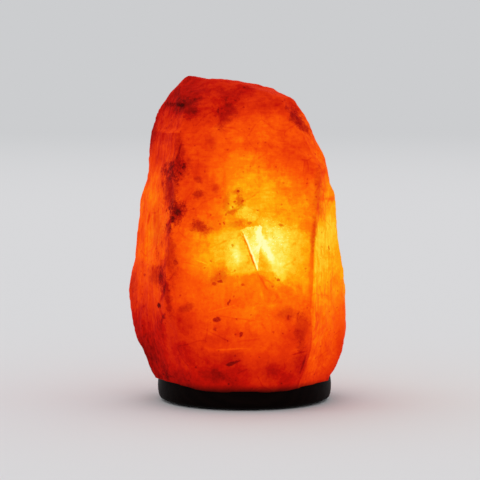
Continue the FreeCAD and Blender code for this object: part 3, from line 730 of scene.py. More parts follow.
upright = salt.stretch(spot, (1.0, 1.0, 0.08))
level = salt.stretch(spot, (0.12, 1.0, 1.0))
splinters = salt.noise(upright, size=1.6, detail=3.0, roughness=0.6) - 0.5
layers = salt.noise(level, size=1.3, detail=3.0, roughness=0.6) - 0.5
lit_strip = (right_strip + left_strip).held()
streaks = splinters * (0.05 + 0.22 * lit_strip) + layers * 0.10 * (1 - lit_strip) * height.step(60.0, 100.0)

# %% Clouds, islands and veins

mottle = salt.noise(spot, size=20.0, detail=6.0, roughness=0.62) - 0.5
grain = salt.noise(spot, size=2.2, detail=5.0, roughness=0.70) - 0.5
patches = salt.noise(loose, size=13.0, detail=6.0, roughness=0.62)
islands = patches.step(0.50, 0.54) * 0.5 + patches.step(0.585, 0.60) * 0.5
fissures = salt.cells(loose, size=19.0, feature="DISTANCE_TO_EDGE")
veins = fissures.step(0.030, 0.006) * salt.noise(spot, size=15.0).step(0.50, 0.60)

# %% [markdown]
# Grit sits in the salt here and there. Voronoi cells give each grain a place of its own, and a cell's
# random colour draws lots, so that only some of the cells hold a grain.

# %% Grit, dust and sparks

SPARK_ROOM = (12.0, 104.0, 22.0, 16.0, -20.0)   # the ellipse over the bulb in which sparks show


def grains(spot, size, edge, channel, lot):
    """Grains in some of the cells: the limits of a grain's edge, and those of the lot that a cell draws."""
    drawn_lot = salt.axis(salt.cells(spot, size, "Color"), channel)
    return salt.cells(spot, size).step(*edge) * drawn_lot.step(*lot)


specks = grains(jagged, 4.6, (0.17, 0.09), "X", (0.50, 0.58))
dust = grains(spot, 1.7, (0.20, 0.10), "Y", (0.62, 0.72))
sparks = salt.cells(jagged, 1.5).step(0.30, 0.12) * drawn(loose, SPARK_ROOM, 1.0).step(0.0, 0.5)

# %% Put the salt together

SEAT_DARK = (16.5, 11.0)        # mm above the table between which the salt darkens towards its seat

glow = glow + front * seen + mottle * 0.30 + grain * 0.19 - (islands - 0.35) * 0.06 - veins * 0.05
glow = glow + streaks - mud * 0.6 - specks * 0.10 - dust * 0.08
glow = glow + sparks * front * 0.09

light = salt.ramp(glow.held(), THROUGH_SALT)
light = salt.mixed((mud * 0.8 + specks * 0.10).held(), light, MUD)
light = salt.mixed(height.step(*SEAT_DARK) * 0.92, light, SEAT_SHADE)
rough = salt.noise(spot, size=4.0, detail=3.0) * 0.3 + 0.5
relief = salt.noise(spot, size=1.2, detail=4.0, roughness=0.6)
salt.set(
    Base_Color=tint(34, 8, 5), Roughness=rough, Specular_IOR_Level=0.012,
    Emission_Color=light, Emission_Strength=1.0,
    Normal=salt.bump(relief, strength=0.4, distance=0.4 * MM),
)
print("nodes in the salt's finish:", len(salt.tree.nodes))
finished(crystal, "lamp_body", "rock_salt", "salt_crystal", crease=50.0)

# %% [markdown]
# ## The turned base
# The base is a disc of dark wood, turned to a rolled rim on a lathe, stained almost black and waxed. Wood
# grain is a set of rings about the tree's heart, seen where the disc was sawn from the trunk, so the
# pattern is rings about a far-off line, pulled into waves by noise. The lathe leaves faint rings of its own
# about the disc's axis.

# %% Stained and waxed wood

FROM_HEART = (0.0, 85.0, -30.0)         # mm, from the tree's heart to the middle of the disc


def ring_wave(finish, spot, axis, **sockets):
    """Light and dark rings about one axis."""
    settings = {"wave_type": "RINGS", "rings_direction": axis}
    return finish.node("ShaderNodeTexWave", settings, {"Vector": spot, **sockets}, "Fac")


def dark_wood():
    finish = Finish("dark_wood")
    spot = finish.place()
    bent = finish.stretch(finish.warped(spot, size=40.0, reach=14.0), (0.06, 1.0, 1.0))
    from_heart = finish.vector("ADD", bent, FROM_HEART)
    growth = ring_wave(finish, from_heart, "X", Scale=0.06, Distortion=1.5, Detail=3.0)
    pores = finish.noise(finish.stretch(spot, (0.05, 1.0, 1.0)), size=0.7, detail=3.0, roughness=0.6)
    turning = ring_wave(finish, spot, "Z", Scale=0.35, Distortion=0.4)
    dark = (growth * 0.6 + pores.step(0.45, 0.65) * 0.4).held()
    worn = finish.noise(spot, size=9.0, detail=4.0, roughness=0.6)
    height = growth * 0.25 + pores * 0.5 + turning * 0.25
    finish.set(
        Base_Color=finish.mixed(dark, tint(13, 5, 4), tint(6, 2, 2)),
        Roughness=0.34 + worn * 0.22 + pores * 0.08, Specular_IOR_Level=0.02,
        Normal=finish.bump(height, strength=0.25, distance=0.15 * MM),
    )


dark_wood()

# %% [markdown]
# A ring of black felt is glued under the base so that it doesn't scratch the table. Felt has no weave: its
# fibres lie in every direction, so its finish is fine noise with a soft sheen.

# %% Felt


def black_felt():
    finish = Finish("black_felt")
    spot = finish.place()
    fibres = finish.noise(finish.warped(spot, size=1.2, reach=1.0), size=0.35, detail=4.0, roughness=0.7)
    tufts = finish.noise(spot, size=2.5, detail=3.0)
    cloth = finish.mixed((fibres * 0.7 + tufts * 0.3).step(0.3, 0.7), tint(16, 15, 16), tint(44, 42, 43))
    finish.set(
        Base_Color=cloth, Roughness=0.95, Specular_IOR_Level=0.1, Sheen_Weight=0.3, Sheen_Roughness=0.5,
        Normal=finish.bump(fibres, strength=0.7, distance=0.2 * MM),
    )


black_felt()

# %% [markdown]
# ## Turning, as on a lathe
# The base, the holder and the bulb are all round about the lamp's axis. A screw modifier could sweep an
# outline in one go, but it leaves a seam and poles to mend. Here a circle is added and drawn on from ring
# to ring, as one does by hand with Extrude, Move and Scale, so the mesh is in order from the start.

# %% Add, settle and seal

MERGE = 0.001           # mm within which two points of a turned mesh are one


def added(operator, **settings):
    """A new primitive, with nothing else selected."""
    bpy.ops.object.select_all(action="DESELECT")
    operator(**settings)
    return bpy.context.object


def settled(piece):
    """Put a piece's place, turn and size into its mesh."""
    take_up(piece)
    bpy.ops.object.transform_apply(location=True, rotation=True, scale=True)
    return piece


def seal(piece):
    """Merge doubled points and point every face outwards."""
    with editing(piece):
        bpy.ops.mesh.select_all(action="SELECT")
        bpy.ops.mesh.remove_doubles(threshold=MERGE * MM)
        bpy.ops.mesh.normals_make_consistent(inside=False)


# %% Turn a piece

ON_RING = 0.0001        # mm within which a point belongs to a ring


def draw_on(now, following):
    """Draw the selected ring on to another radius and height; a radius of 0 closes it in a pole."""
    bpy.ops.mesh.extrude_region_move()
    bpy.ops.transform.translate(value=(0, 0, (following[1] - now[1]) * MM))
    if following[0] == 0:
        bpy.ops.mesh.merge(type="CENTER")
        return
    factor = following[0] / now[0]
    bpy.ops.transform.resize(value=(factor, factor, 1), center_override=(0, 0, 0))


def turned(name, segments, outline, shut=True):
    """Turn (radius, height) points in millimetres about the axis; shut joins the last ring to the first."""
    outline = list(outline)
    foot = outline.pop(0) if outline[0][0] == 0 else None
    first = outline[0]
    piece = settled(added(
        bpy.ops.mesh.primitive_circle_add,
        vertices=segments, radius=first[0] * MM, location=(0, 0, first[1] * MM),
    ))
    piece.name = piece.data.name = name
    closed = shut and foot is None and outline[-1][0] > 0
    with editing(piece):
        bpy.ops.mesh.select_all(action="SELECT")
        for now, following in zip(outline, outline[1:] + ([first] if closed else [])):
            draw_on(now, following)
        if foot:
            choose("verts", lambda v: math.dist((v.co.xy.length / MM, v.co.z / MM), first) < ON_RING)
            draw_on(first, foot)
    seal(piece)
    return piece


def rings(radius, low, high, step):
    """Points of a straight wall, close enough together to press a thread into."""
    steps = math.ceil(abs(high - low) / step)
    return [(radius, low + (high - low) * k / steps) for k in range(steps + 1)]


def heights(node):
    """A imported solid's lowest and highest point, in millimetres."""
    return [corner[2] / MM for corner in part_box(node)]


# %% Carve, set down and copy


def carve(piece, cutter, operation="DIFFERENCE"):
    """Cut a piece with another one, which is used up."""
    apply_modifier(piece, "BOOLEAN", object=cutter, operation=operation, solver="EXACT")
    bpy.data.objects.remove(cutter)


def set_down(piece, x, y, turn=0.0):
    """Turn a piece about the axis and move it to its place."""
    piece.rotation_euler = (0, 0, math.radians(turn))
    piece.location = (x * MM, y * MM, 0)
    return settled(piece)


def twin(piece, name):
    """A copy with its own mesh."""
    other = piece.copy()
    other.data = piece.data.copy()
    other.name = other.data.name = name
    bpy.context.scene.collection.objects.link(other)
    return other


# %% [markdown]
# ## Threads
# Sheet metal gets its thread by rolling, and a screw by rolling or cutting: in both, a helical wave is
# pressed into a straight wall. So a wall is turned with many close rings, and then its points are drawn in
# along the wave. The wave climbs as the angle grows, which makes a right-handed thread, and it depends only
# on the place on the lamp. Two pieces with the same pitch are therefore in step, and stay in step while the
# bulb turns and climbs.

# %% Press a thread

NEAR_AXIS = 0.1         # mm, so that nothing is divided by a radius of 0


def press_thread(piece, low, high, pitch, depth, wall, run_out, narrow_start=False):
    """Press a right-handed thread into the points whose radius lies in the wall, running out at its ends."""
    places = points_of(piece)
    x, y, z = places.T
    radius = np.hypot(x, y)
    angle = np.arctan2(y, x) / (2 * math.pi)
    groove = 0.5 - 0.5 * np.cos(2 * math.pi * (z / pitch - angle))
    groove = groove * rise(z, high, high - run_out)
    start = rise(z, low, low + run_out)
    groove = 1 - (1 - groove) * start if narrow_start else groove * start
    pressed = (radius > wall[0]) & (radius < wall[1])
    factor = 1 - depth * groove * pressed / np.maximum(radius, NEAR_AXIS)
    places[:, :2] *= factor[:, None]
    piece.data.vertices.foreach_set("co", (places * MM).ravel())
    piece.data.update()
    print(f"{piece.name}: {(high - low) / pitch:.1f} turns of thread")


# %% [markdown]
# ## Metals
# All the small metal pieces have the same make-up: a bright and a dull tone in faint blotches, and fine
# marks drawn out in the direction of rolling or turning. One function makes them, and a table gives each
# metal its own tones.

# %% Metals of the fittings


def metal(name, bright, dull, roughness, drawn_out):
    finish = Finish(name)
    spot = finish.place()
    blotches = finish.noise(spot, size=3.0, detail=4.0, roughness=0.6)
    marks = finish.noise(finish.stretch(spot, drawn_out), size=0.22, detail=3.0, roughness=0.6)
    tone = finish.mixed((blotches * 0.7 + marks * 0.3).step(0.32, 0.66), dull, bright)
    finish.set(
        Base_Color=tone, Metallic=1.0, Roughness=roughness + (marks - 0.5) * 0.2 + (blotches - 0.5) * 0.14,
        Normal=finish.bump(marks, strength=0.12, distance=0.03 * MM),
    )


ROUND_ABOUT = (0.25, 0.25, 1.0)
ALONG_X = (0.08, 1.0, 1.0)
METALS = {
    "plated_steel": ((0.72, 0.71, 0.66, 1), (0.50, 0.50, 0.44, 1), 0.32, ROUND_ABOUT),
    "spring_steel": ((0.62, 0.62, 0.63, 1), (0.53, 0.53, 0.55, 1), 0.26, ALONG_X),
    "brass": ((0.84, 0.65, 0.31, 1), (0.58, 0.42, 0.17, 1), 0.28, ROUND_ABOUT),
    "solder": ((0.74, 0.74, 0.75, 1), (0.46, 0.46, 0.47, 1), 0.42, (1.0, 1.0, 1.0)),
    "nickel_cap": ((0.76, 0.74, 0.70, 1), (0.58, 0.56, 0.51, 1), 0.20, ROUND_ABOUT),
    "nickel_wire": ((0.64, 0.62, 0.58, 1), (0.44, 0.42, 0.38, 1), 0.30, (1.0, 1.0, 0.1)),
}
for name, tones in METALS.items():
    metal(name, *tones)
print(len(METALS), "metals")

# %% [markdown]
# ## Plastics, ceramic and glass
# Moulded plastic shows a faint cloud in its gloss where it cooled unevenly. Fired ceramic has pale speckles
# and no gloss. Blown glass is clear and even, so its finish varies only in how smooth it is.

# %% Moulded, fired and blown


def moulded(name, light, shade, roughness):
    finish = Finish(name)
    spot = finish.place()
    clouds = finish.noise(spot, size=6.0, detail=3.0)
    skin = finish.noise(spot, size=0.5)
    finish.set(
        Base_Color=finish.mixed(clouds.step(0.35, 0.65), shade, light),
        Roughness=roughness + (clouds - 0.5) * 0.2 + (skin - 0.5) * 0.1, Specular_IOR_Level=0.5,
        Normal=finish.bump(skin, strength=0.08, distance=0.05 * MM),
    )


def fired(name, pale, speckle):
    finish = Finish(name)
    spot = finish.place()
    speckles = finish.cells(spot, size=0.5).step(0.35, 0.15)
    body = finish.noise(spot, size=2.0, detail=4.0, roughness=0.6)
    finish.set(
        Base_Color=finish.mixed(speckles * body, pale, speckle), Roughness=0.72 + body * 0.15,
        Normal=finish.bump(body, strength=0.3, distance=0.08 * MM),
    )


def glass(name, colour, roughness):
    finish = Finish(name)
    film = finish.noise(finish.place(), size=8.0, detail=3.0)
    finish.set(
        Base_Color=finish.mixed(film, colour, (1, 1, 1, 1)), Roughness=roughness + film * 0.03,
        Transmission_Weight=1.0, IOR=1.5,
    )


moulded("holder_plastic", (0.82, 0.81, 0.77, 1), (0.79, 0.78, 0.73, 1), 0.32)
moulded("plug_nylon", (0.64, 0.64, 0.62, 1), (0.54, 0.54, 0.52, 1), 0.45)
moulded("black_glass", (0.02, 0.02, 0.026, 1), (0.012, 0.012, 0.014, 1), 0.12)
fired("carrier_ceramic", (0.86, 0.84, 0.79, 1), (0.62, 0.58, 0.52, 1))
glass("clear_glass", (0.99, 0.99, 0.985, 1), 0.0)
glass("stem_glass", (0.93, 0.97, 0.95, 1), 0.02)
print("finishes so far:", ", ".join(finishes))

# %% [markdown]
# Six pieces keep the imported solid's shape, which is already right: the felt ring, the plugs in the crystal,
# and the carrier, terminals and contact that the holder hides. They only need their finish.

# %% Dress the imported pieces

KEPT = {
    "felt_ring": "black_felt", "wall_plugs": "plug_nylon", "contact_carrier": "carrier_ceramic",
    "terminal_blocks": "brass", "terminal_screws": "plated_steel", "centre_contact": "spring_steel",
}
for node, finish in KEPT.items():
    dress(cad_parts[node], finish)
print(len(KEPT), "packed solids dressed")

# %% [markdown]
# ## The base, turned smooth
# The real rim is one round sweep of the gouge, so the base is turned anew with many fine rings, along a
# curve that is a little squarer than half an ellipse. Its ways for the lead and the screws are then cut as
# a workshop would: a round-topped groove with the router, and three countersinks.

# %% Turn the base

BASE_LOW, BASE_HIGH = heights("wooden_base")
RIM_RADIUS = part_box("wooden_base")[1][0] / MM
FLAT_RADIUS = 48.7
HOLE_RADIUS = 24.0
EASED = 0.5             # eased edge on top of the hole
CHAMFER = 1.0           # cut edge under it
RIM_RINGS = 26
RIM_FULLNESS = 0.45     # 1 is an ellipse, and less is squarer

rim_middle = (BASE_LOW + BASE_HIGH) / 2
rim_half = (BASE_HIGH - BASE_LOW) / 2
rim = []
for k in range(RIM_RINGS + 1):
    angle = math.pi * k / RIM_RINGS
    swell = math.sin(angle) ** RIM_FULLNESS if 0 < k < RIM_RINGS else 0
    rim.append((FLAT_RADIUS + (RIM_RADIUS - FLAT_RADIUS) * swell, rim_middle - rim_half * math.cos(angle)))
base = turned("turned_base", 160, [
    (HOLE_RADIUS + CHAMFER, BASE_LOW), *rim, (HOLE_RADIUS + EASED, BASE_HIGH),
    (HOLE_RADIUS, BASE_HIGH - EASED), (HOLE_RADIUS, BASE_LOW + CHAMFER),
])

# %% Cut the groove and the countersinks

GROOVE_RADIUS = 4.25
GROOVE_ROOF = 8.6       # above the base's underside
ROUTER_LENGTH = 60.0
ROUTER_DROP = 8.0       # how far the router's sides reach down past its axis, out of the wood
SCREW_CIRCLE = (HOLE_RADIUS + FLAT_RADIUS) / 2
SCREW_ANGLES = (-90.0, 30.0, 150.0)
HEAD_Z = BASE_LOW + 0.8
SINK_RADIUS, SHANK_HOLE = 4.4, 2.3

groove_axis = BASE_LOW + GROOVE_ROOF - GROOVE_RADIUS
router = settled(added(
    bpy.ops.mesh.primitive_cylinder_add, vertices=32, radius=GROOVE_RADIUS * MM, depth=ROUTER_LENGTH * MM,
    rotation=(math.radians(90), 0, 0), location=(0, ROUTER_LENGTH / 2 * MM, groove_axis * MM),
))
with editing(router):
    choose("verts", lambda v: v.co.z / MM < groove_axis - 0.1)
    bpy.ops.transform.translate(value=(0, 0, -ROUTER_DROP * MM))
carve(base, router)


def on_screw_circle(angle):
    """Where a screw stands, by its angle in degrees."""
    angle = math.radians(angle)
    return SCREW_CIRCLE * math.cos(angle), SCREW_CIRCLE * math.sin(angle)


for angle in SCREW_ANGLES:
    sink = turned("sink", 32, [
        (0, BASE_LOW - 1), (SINK_RADIUS, BASE_LOW - 1), (SINK_RADIUS, HEAD_Z), (SHANK_HOLE, HEAD_Z + 2.2),
        (SHANK_HOLE, BASE_HIGH + 1), (0, BASE_HIGH + 1),
    ])
    carve(base, set_down(sink, *on_screw_circle(angle)))
finished(base, "lamp_body", "dark_wood", "wooden_base", crease=30.0)

# %% [markdown]
# ## Countersunk screws
# Three wood screws hold the base to the crystal. One is turned with a countersunk head and a point, its
# thread is pressed, a cross recess is cut into the head, and then it is copied round the circle.

# %% Turn one screw

SCREW_END = HEAD_Z + 28.0
SCREW_PITCH = 1.8
SHANK_RADIUS = 1.9
CROSS_LENGTH, CROSS_WIDTH, CROSS_DEPTH = 4.4, 0.95, 2.6
CROSS_TAPER = 0.55      # width of the recess at its bottom, as a share of that at its top

screw = turned("base_screw_front", 28, [
    (0, HEAD_Z), (3.75, HEAD_Z), (4.0, HEAD_Z + 0.2), (3.95, HEAD_Z + 0.5), (SHANK_RADIUS, HEAD_Z + 2.3),
    *rings(SHANK_RADIUS, HEAD_Z + 4.0, SCREW_END - 3.5, SCREW_PITCH / 8),
    (0.35, SCREW_END - 0.2), (0, SCREW_END),
])
press_thread(screw, HEAD_Z + 4.5, SCREW_END, SCREW_PITCH, depth=0.62, wall=(1.8, 2.0), run_out=2.0)
for width, length in ((CROSS_LENGTH, CROSS_WIDTH), (CROSS_WIDTH, CROSS_LENGTH)):
    arm = added(bpy.ops.mesh.primitive_cube_add, size=1, location=(0, 0, (HEAD_Z + 0.4) * MM))
    arm.scale = (width * MM, length * MM, CROSS_DEPTH * MM)
    settled(arm)
    with editing(arm):
        choose("verts", lambda v: v.co.z / MM > HEAD_Z)
        bpy.ops.transform.resize(value=(CROSS_TAPER, CROSS_TAPER, 1), center_override=(0, 0, 0))
    carve(screw, arm)
seal(screw)

# %% Set down three

SCREW_TURNS = (20.0, 75.0, 48.0)        # no two cross recesses stand alike

screws = [screw, twin(screw, "base_screw_right"), twin(screw, "base_screw_left")]
for piece, angle, turn in zip(screws, SCREW_ANGLES, SCREW_TURNS):
    set_down(piece, *on_screw_circle(angle), turn)
    finished(piece, "lamp_body", "plated_steel", "base_screws")

# %% [markdown]
# ## Nipple, nut and lock washer
# The lead comes in through a hollow threaded nipple. A nut and a toothed washer clamp the spring bracket
# between them and the holder's cap. A nut is a six-sided prism met by a chamfered disc, so it is made as
# just that: the part that a hexagon and a turned ring have in common. The washer's teeth are every other
# face of a ring, drawn out and set slightly askew.

# %% Threaded nipple

NIPPLE_LOW, NIPPLE_HIGH = heights("cord_nipple")
NIPPLE_PITCH = 1.0
NIPPLE_RADIUS, NIPPLE_END, NIPPLE_BORE = 5.0, 4.7, 3.4
NIPPLE_HOLE = 5.1       # in what it passes through

nipple = turned("threaded_nipple", 48, [
    (NIPPLE_BORE, NIPPLE_LOW), (NIPPLE_END, NIPPLE_LOW),
    *rings(NIPPLE_RADIUS, NIPPLE_LOW + 0.3, NIPPLE_HIGH - 0.3, NIPPLE_PITCH / 7),
    (NIPPLE_END, NIPPLE_HIGH), (NIPPLE_BORE, NIPPLE_HIGH),
])
press_thread(nipple, NIPPLE_LOW, NIPPLE_HIGH, NIPPLE_PITCH, depth=0.5, wall=(4.9, 5.1), run_out=0.4)
finished(nipple, "lampholder", "brass", "cord_nipple")

# %% Chamfered nut

NUT_LOW, NUT_HIGH = heights("lock_nut")
NUT_FLATS = 14.0
NUT_RADIUS, NUT_FACE = 8.15, 6.9

nut = turned("hex_nut", 96, [
    (5.5, NUT_LOW), (NUT_FACE, NUT_LOW), (NUT_RADIUS, NUT_LOW + 0.7), (NUT_RADIUS, NUT_HIGH - 0.7),
    (NUT_FACE, NUT_HIGH), (5.5, NUT_HIGH), (NIPPLE_HOLE, NUT_HIGH - 0.4), (NIPPLE_HOLE, NUT_LOW + 0.4),
])
hexagon = added(
    bpy.ops.mesh.primitive_cylinder_add, vertices=6, radius=NUT_FLATS / math.sqrt(3) * MM, depth=9 * MM,
    rotation=(0, 0, math.radians(30)), location=(0, 0, NUT_LOW * MM),
)
carve(nut, hexagon, "INTERSECT")
finished(nut, "lampholder", "plated_steel", "lock_nut")

# %% Choose every other face of a wall

UPRIGHT = 0.1           # a wall's normal rises less than this
NEAR_WALL = 0.1         # mm from the wall's radius to the middle of its faces


def every_other(radius, segments, low=-math.inf, high=math.inf):
    """A test for every other face of a turned wall, between two heights."""
    def chosen(face):
        middle = face.calc_center_median() / MM
        on_wall = abs(middle.xy.length - radius) < NEAR_WALL and abs(face.normal.z) < UPRIGHT
        number = round(math.atan2(middle.y, middle.x) * segments / (2 * math.pi) - 0.5)
        return on_wall and low < middle.z < high and number % 2 == 0
    return chosen


# %% Toothed lock washer

WASHER_LOW, WASHER_HIGH = heights("lock_washer")
WASHER_RADIUS = 6.8
TEETH = 16
TOOTH_LENGTH = 1.15
TOOTH_SET = 0.13        # how far a tooth's corners stand up and down

washer = turned("toothed_washer", 2 * TEETH, [
    (NIPPLE_HOLE, WASHER_LOW + 0.15), (WASHER_RADIUS, WASHER_LOW + 0.15), (WASHER_RADIUS, WASHER_HIGH - 0.15),
    (NIPPLE_HOLE, WASHER_HIGH - 0.15),
])
with editing(washer, "FACE"):
    choose("faces", every_other(WASHER_RADIUS, 2 * TEETH))
    bpy.ops.mesh.inset(thickness=0.08 * MM, depth=TOOTH_LENGTH * MM, use_individual=True)
places = points_of(washer)
spread = np.arctan2(places[:, 1], places[:, 0]) * TEETH / (2 * math.pi)
tip = np.hypot(places[:, 0], places[:, 1]) > WASHER_RADIUS + TOOTH_LENGTH / 2
places[:, 2] += TOOTH_SET * tip * np.sign(np.sin(2 * math.pi * spread - math.pi / 2 * 0.98))
washer.data.vertices.foreach_set("co", (places * MM).ravel())
finished(washer, "lampholder", "plated_steel", "lock_washer", crease=20.0)

# %% [markdown]
# ## The spring bracket
# A strap of spring steel is bent so that its two wings press on the bore and hold the lampholder up. Its
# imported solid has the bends. A stamped strip has no sharp edges, so a copy of it is cleaned of the lines
# between flat triangles and its edges are rounded.

# %% Round the bracket's edges

FLAT_ANGLE = math.radians(2)


def round_edges(piece, width, sharp):
    """Round every edge that turns by more than sharp, in degrees."""
    angle = math.radians(sharp)
    apply_modifier(piece, "BEVEL", width=width * MM, segments=2, limit_method="ANGLE", angle_limit=angle)


bracket = copy_of("spring_bracket", "sprung_bracket")
with editing(bracket):
    bpy.ops.mesh.select_all(action="SELECT")
    bpy.ops.mesh.dissolve_limited(angle_limit=FLAT_ANGLE)
round_edges(bracket, width=0.16, sharp=50)
finished(bracket, "lampholder", "spring_steel", "spring_bracket", crease=40.0)

# %% [markdown]
# ## The lampholder's housing
# Both halves are moulded. A mould leaves every edge slightly round, so a bevel finishes the turned shape,
# and a band of grooves gives the fingers a grip when the halves are screwed together. The grooves are every
# other face of the band, inset and pressed in.

# %% Cap and barrel

HOLDER_RADIUS = 14.0
GRIP_SEGMENTS = 96
GRIP_DEPTH = 0.35
CAP_LOW, CAP_HIGH = heights("holder_cap")
BARREL_LOW, BARREL_HIGH = heights("holder_barrel")


def grip(piece, low, high):
    """Press grooves into the housing's wall between two heights."""
    with editing(piece, "FACE"):
        choose("faces", every_other(HOLDER_RADIUS, GRIP_SEGMENTS, low, high))
        bpy.ops.mesh.inset(thickness=0.16 * MM, depth=-GRIP_DEPTH * MM, use_individual=True)


cap = turned("moulded_cap", GRIP_SEGMENTS, [
    (NIPPLE_HOLE, CAP_LOW), (9.5, CAP_LOW), (11.2, CAP_LOW + 0.5), (12.6, CAP_LOW + 1.8),
    (13.6, CAP_LOW + 3.6), (HOLDER_RADIUS, CAP_LOW + 5.5), (HOLDER_RADIUS, CAP_LOW + 6.6),
    (HOLDER_RADIUS, CAP_HIGH - 1.6),
    (HOLDER_RADIUS, CAP_HIGH), (12.2, CAP_HIGH), (12.2, CAP_LOW + 6.1), (11.0, CAP_LOW + 3.4),
    (9.5, CAP_LOW + 2.2), (NIPPLE_HOLE, CAP_LOW + 2.2),
])
grip(cap, CAP_LOW + 6.7, CAP_HIGH - 1.7)
barrel = turned("moulded_barrel", GRIP_SEGMENTS, [
    (12.1, BARREL_LOW), (12.1, CAP_HIGH), (HOLDER_RADIUS, CAP_HIGH), (HOLDER_RADIUS, CAP_HIGH + 1.2),
    (HOLDER_RADIUS, CAP_HIGH + 6.0), (HOLDER_RADIUS, CAP_HIGH + 7.0), (13.5, CAP_HIGH + 9.2),
    (12.6, CAP_HIGH + 11.2), (12.2, CAP_HIGH + 13.0), (12.2, BARREL_HIGH - 2.4), (11.9, BARREL_HIGH - 2.1),
    (11.9, BARREL_HIGH - 1.7), (12.2, BARREL_HIGH - 1.4), (12.2, BARREL_HIGH - 0.5), (11.8, BARREL_HIGH),
    (9.6, BARREL_HIGH), (9.6, CAP_HIGH + 7.0), (10.7, CAP_HIGH + 7.0), (10.7, BARREL_LOW),
])
grip(barrel, CAP_HIGH + 1.3, CAP_HIGH + 5.9)
for piece, node in ((cap, "holder_cap"), (barrel, "holder_barrel")):
    round_edges(piece, width=0.14, sharp=40)
    finished(piece, "lampholder", "holder_plastic", node, crease=50.0)

# %% [markdown]
# ## Screw shell and bulb cap
# The shell is a brass cup with a rolled thread, and the bulb's cap is a nickel-plated one that runs in it.
# Both are thin, so the inner and the outer wall are turned together and the thread is pressed through both
# at once.

# %% Roll the shell and the cap

PITCH = 2.822
ROLLED = 0.7            # depth of the rolled thread
CLOSE = PITCH / 11      # between the rings of a wall that gets a thread
SHELL_LOW, SHELL_HIGH = heights("thread_shell")
LAMP_LOW, LAMP_HIGH = heights("bulb_cap")

shell = turned("rolled_shell", 72, [
    (5.0, SHELL_LOW), (8.6, SHELL_LOW), (8.8, SHELL_LOW + 0.2), (8.6, SHELL_LOW + 0.4),
    (7.8, SHELL_LOW + 0.5),
    *rings(7.45, SHELL_LOW + 0.9, SHELL_HIGH - 1.0, CLOSE), (8.3, SHELL_HIGH - 0.1), (8.15, SHELL_HIGH),
    (7.9, SHELL_HIGH - 0.05), *rings(7.0, SHELL_HIGH - 1.0, SHELL_LOW + 0.9, CLOSE), (6.7, SHELL_LOW + 0.5),
    (5.0, SHELL_LOW + 0.5),
])
press_thread(shell, SHELL_LOW + 2.0, SHELL_HIGH - 1.0, PITCH, ROLLED, wall=(6.9, 7.6), run_out=2.4)
finished(shell, "lampholder", "brass", "thread_shell", crease=50.0)

lamp_cap = turned("rolled_cap", 72, [
    (2.4, LAMP_LOW), (6.0, LAMP_LOW), (6.35, LAMP_LOW + 0.25),
    *rings(6.9, LAMP_LOW + 0.7, LAMP_HIGH - 1.0, CLOSE), (7.35, LAMP_HIGH - 0.15), (7.4, LAMP_HIGH),
    (7.1, LAMP_HIGH), *rings(6.5, LAMP_HIGH - 1.1, LAMP_LOW + 1.0, CLOSE), (5.9, LAMP_LOW + 0.45),
    (2.4, LAMP_LOW + 0.4),
])
press_thread(
    lamp_cap, LAMP_LOW + 0.2, LAMP_HIGH - 1.0, PITCH, ROLLED, wall=(6.4, 7.0), run_out=2.0, narrow_start=True,
)
finished(lamp_cap, "bulb", "nickel_cap", "bulb_cap", crease=50.0)

# %% [markdown]
# ## The bulb's end
# Below the cap a cone of black glass keeps it apart from the centre contact, a dome of solder. Hand
# soldering leaves the dome a little lumpy.

# %% Insulator and solder

TIP_LOW, TIP_HIGH = heights("cap_contact")
DOME_RADIUS, DOME_HEIGHT = 2.35, 1.5

insulator = turned("glass_insulator", 48, [
    (0, TIP_HIGH), (2.6, TIP_HIGH), (3.2, TIP_HIGH + 0.15), (4.3, TIP_HIGH + 0.95), (5.4, TIP_HIGH + 1.8),
    (5.95, LAMP_LOW - 0.25), (6.0, LAMP_LOW), (0, LAMP_LOW),
])
finished(insulator, "bulb", "black_glass", "cap_insulator", crease=60.0)

dome_angles = [math.radians(degrees) for degrees in range(12, 91, 6)]
dome = turned("solder_dome", 36, [
    (0, TIP_LOW), *[(DOME_RADIUS * math.sin(a), TIP_HIGH - DOME_HEIGHT * math.cos(a)) for a in dome_angles],
    (0, TIP_HIGH),
])
lumps = bpy.data.textures.new("solder lumps", "CLOUDS")
lumps.noise_scale = 1.6 * MM
apply_modifier(dome, "DISPLACE", texture=lumps, texture_coords="LOCAL", strength=-0.16 * MM, mid_level=0.0)
finished(dome, "bulb_tip", "solder", "cap_contact", crease=60.0)

# %% [markdown]
# ## The blown envelope
# The envelope is blown from a tube: a round crown that runs out through a long flank and a throat into the
# neck. Three arcs that meet smoothly give that line. It is turned as one skin, and Solidify gives it its
# wall.

# %% Blow the bulb

GLASS_RADIUS = 12.5
GLASS_WALL = 0.6
FLANK_RADIUS = 30.0
FLANK_SWEEP = math.radians(32.0)
NECK_RADIUS = 5.6
GLASS_LOW, GLASS_HIGH = heights("bulb_glass")


def arc(x, z, radius, first, last, steps):
    """Points of an arc about (x, z) from one angle towards another, which the next point stands for."""
    angles = [first + (last - first) * k / steps for k in range(steps)]
    return [(x + radius * math.cos(angle), z + radius * math.sin(angle)) for angle in angles]


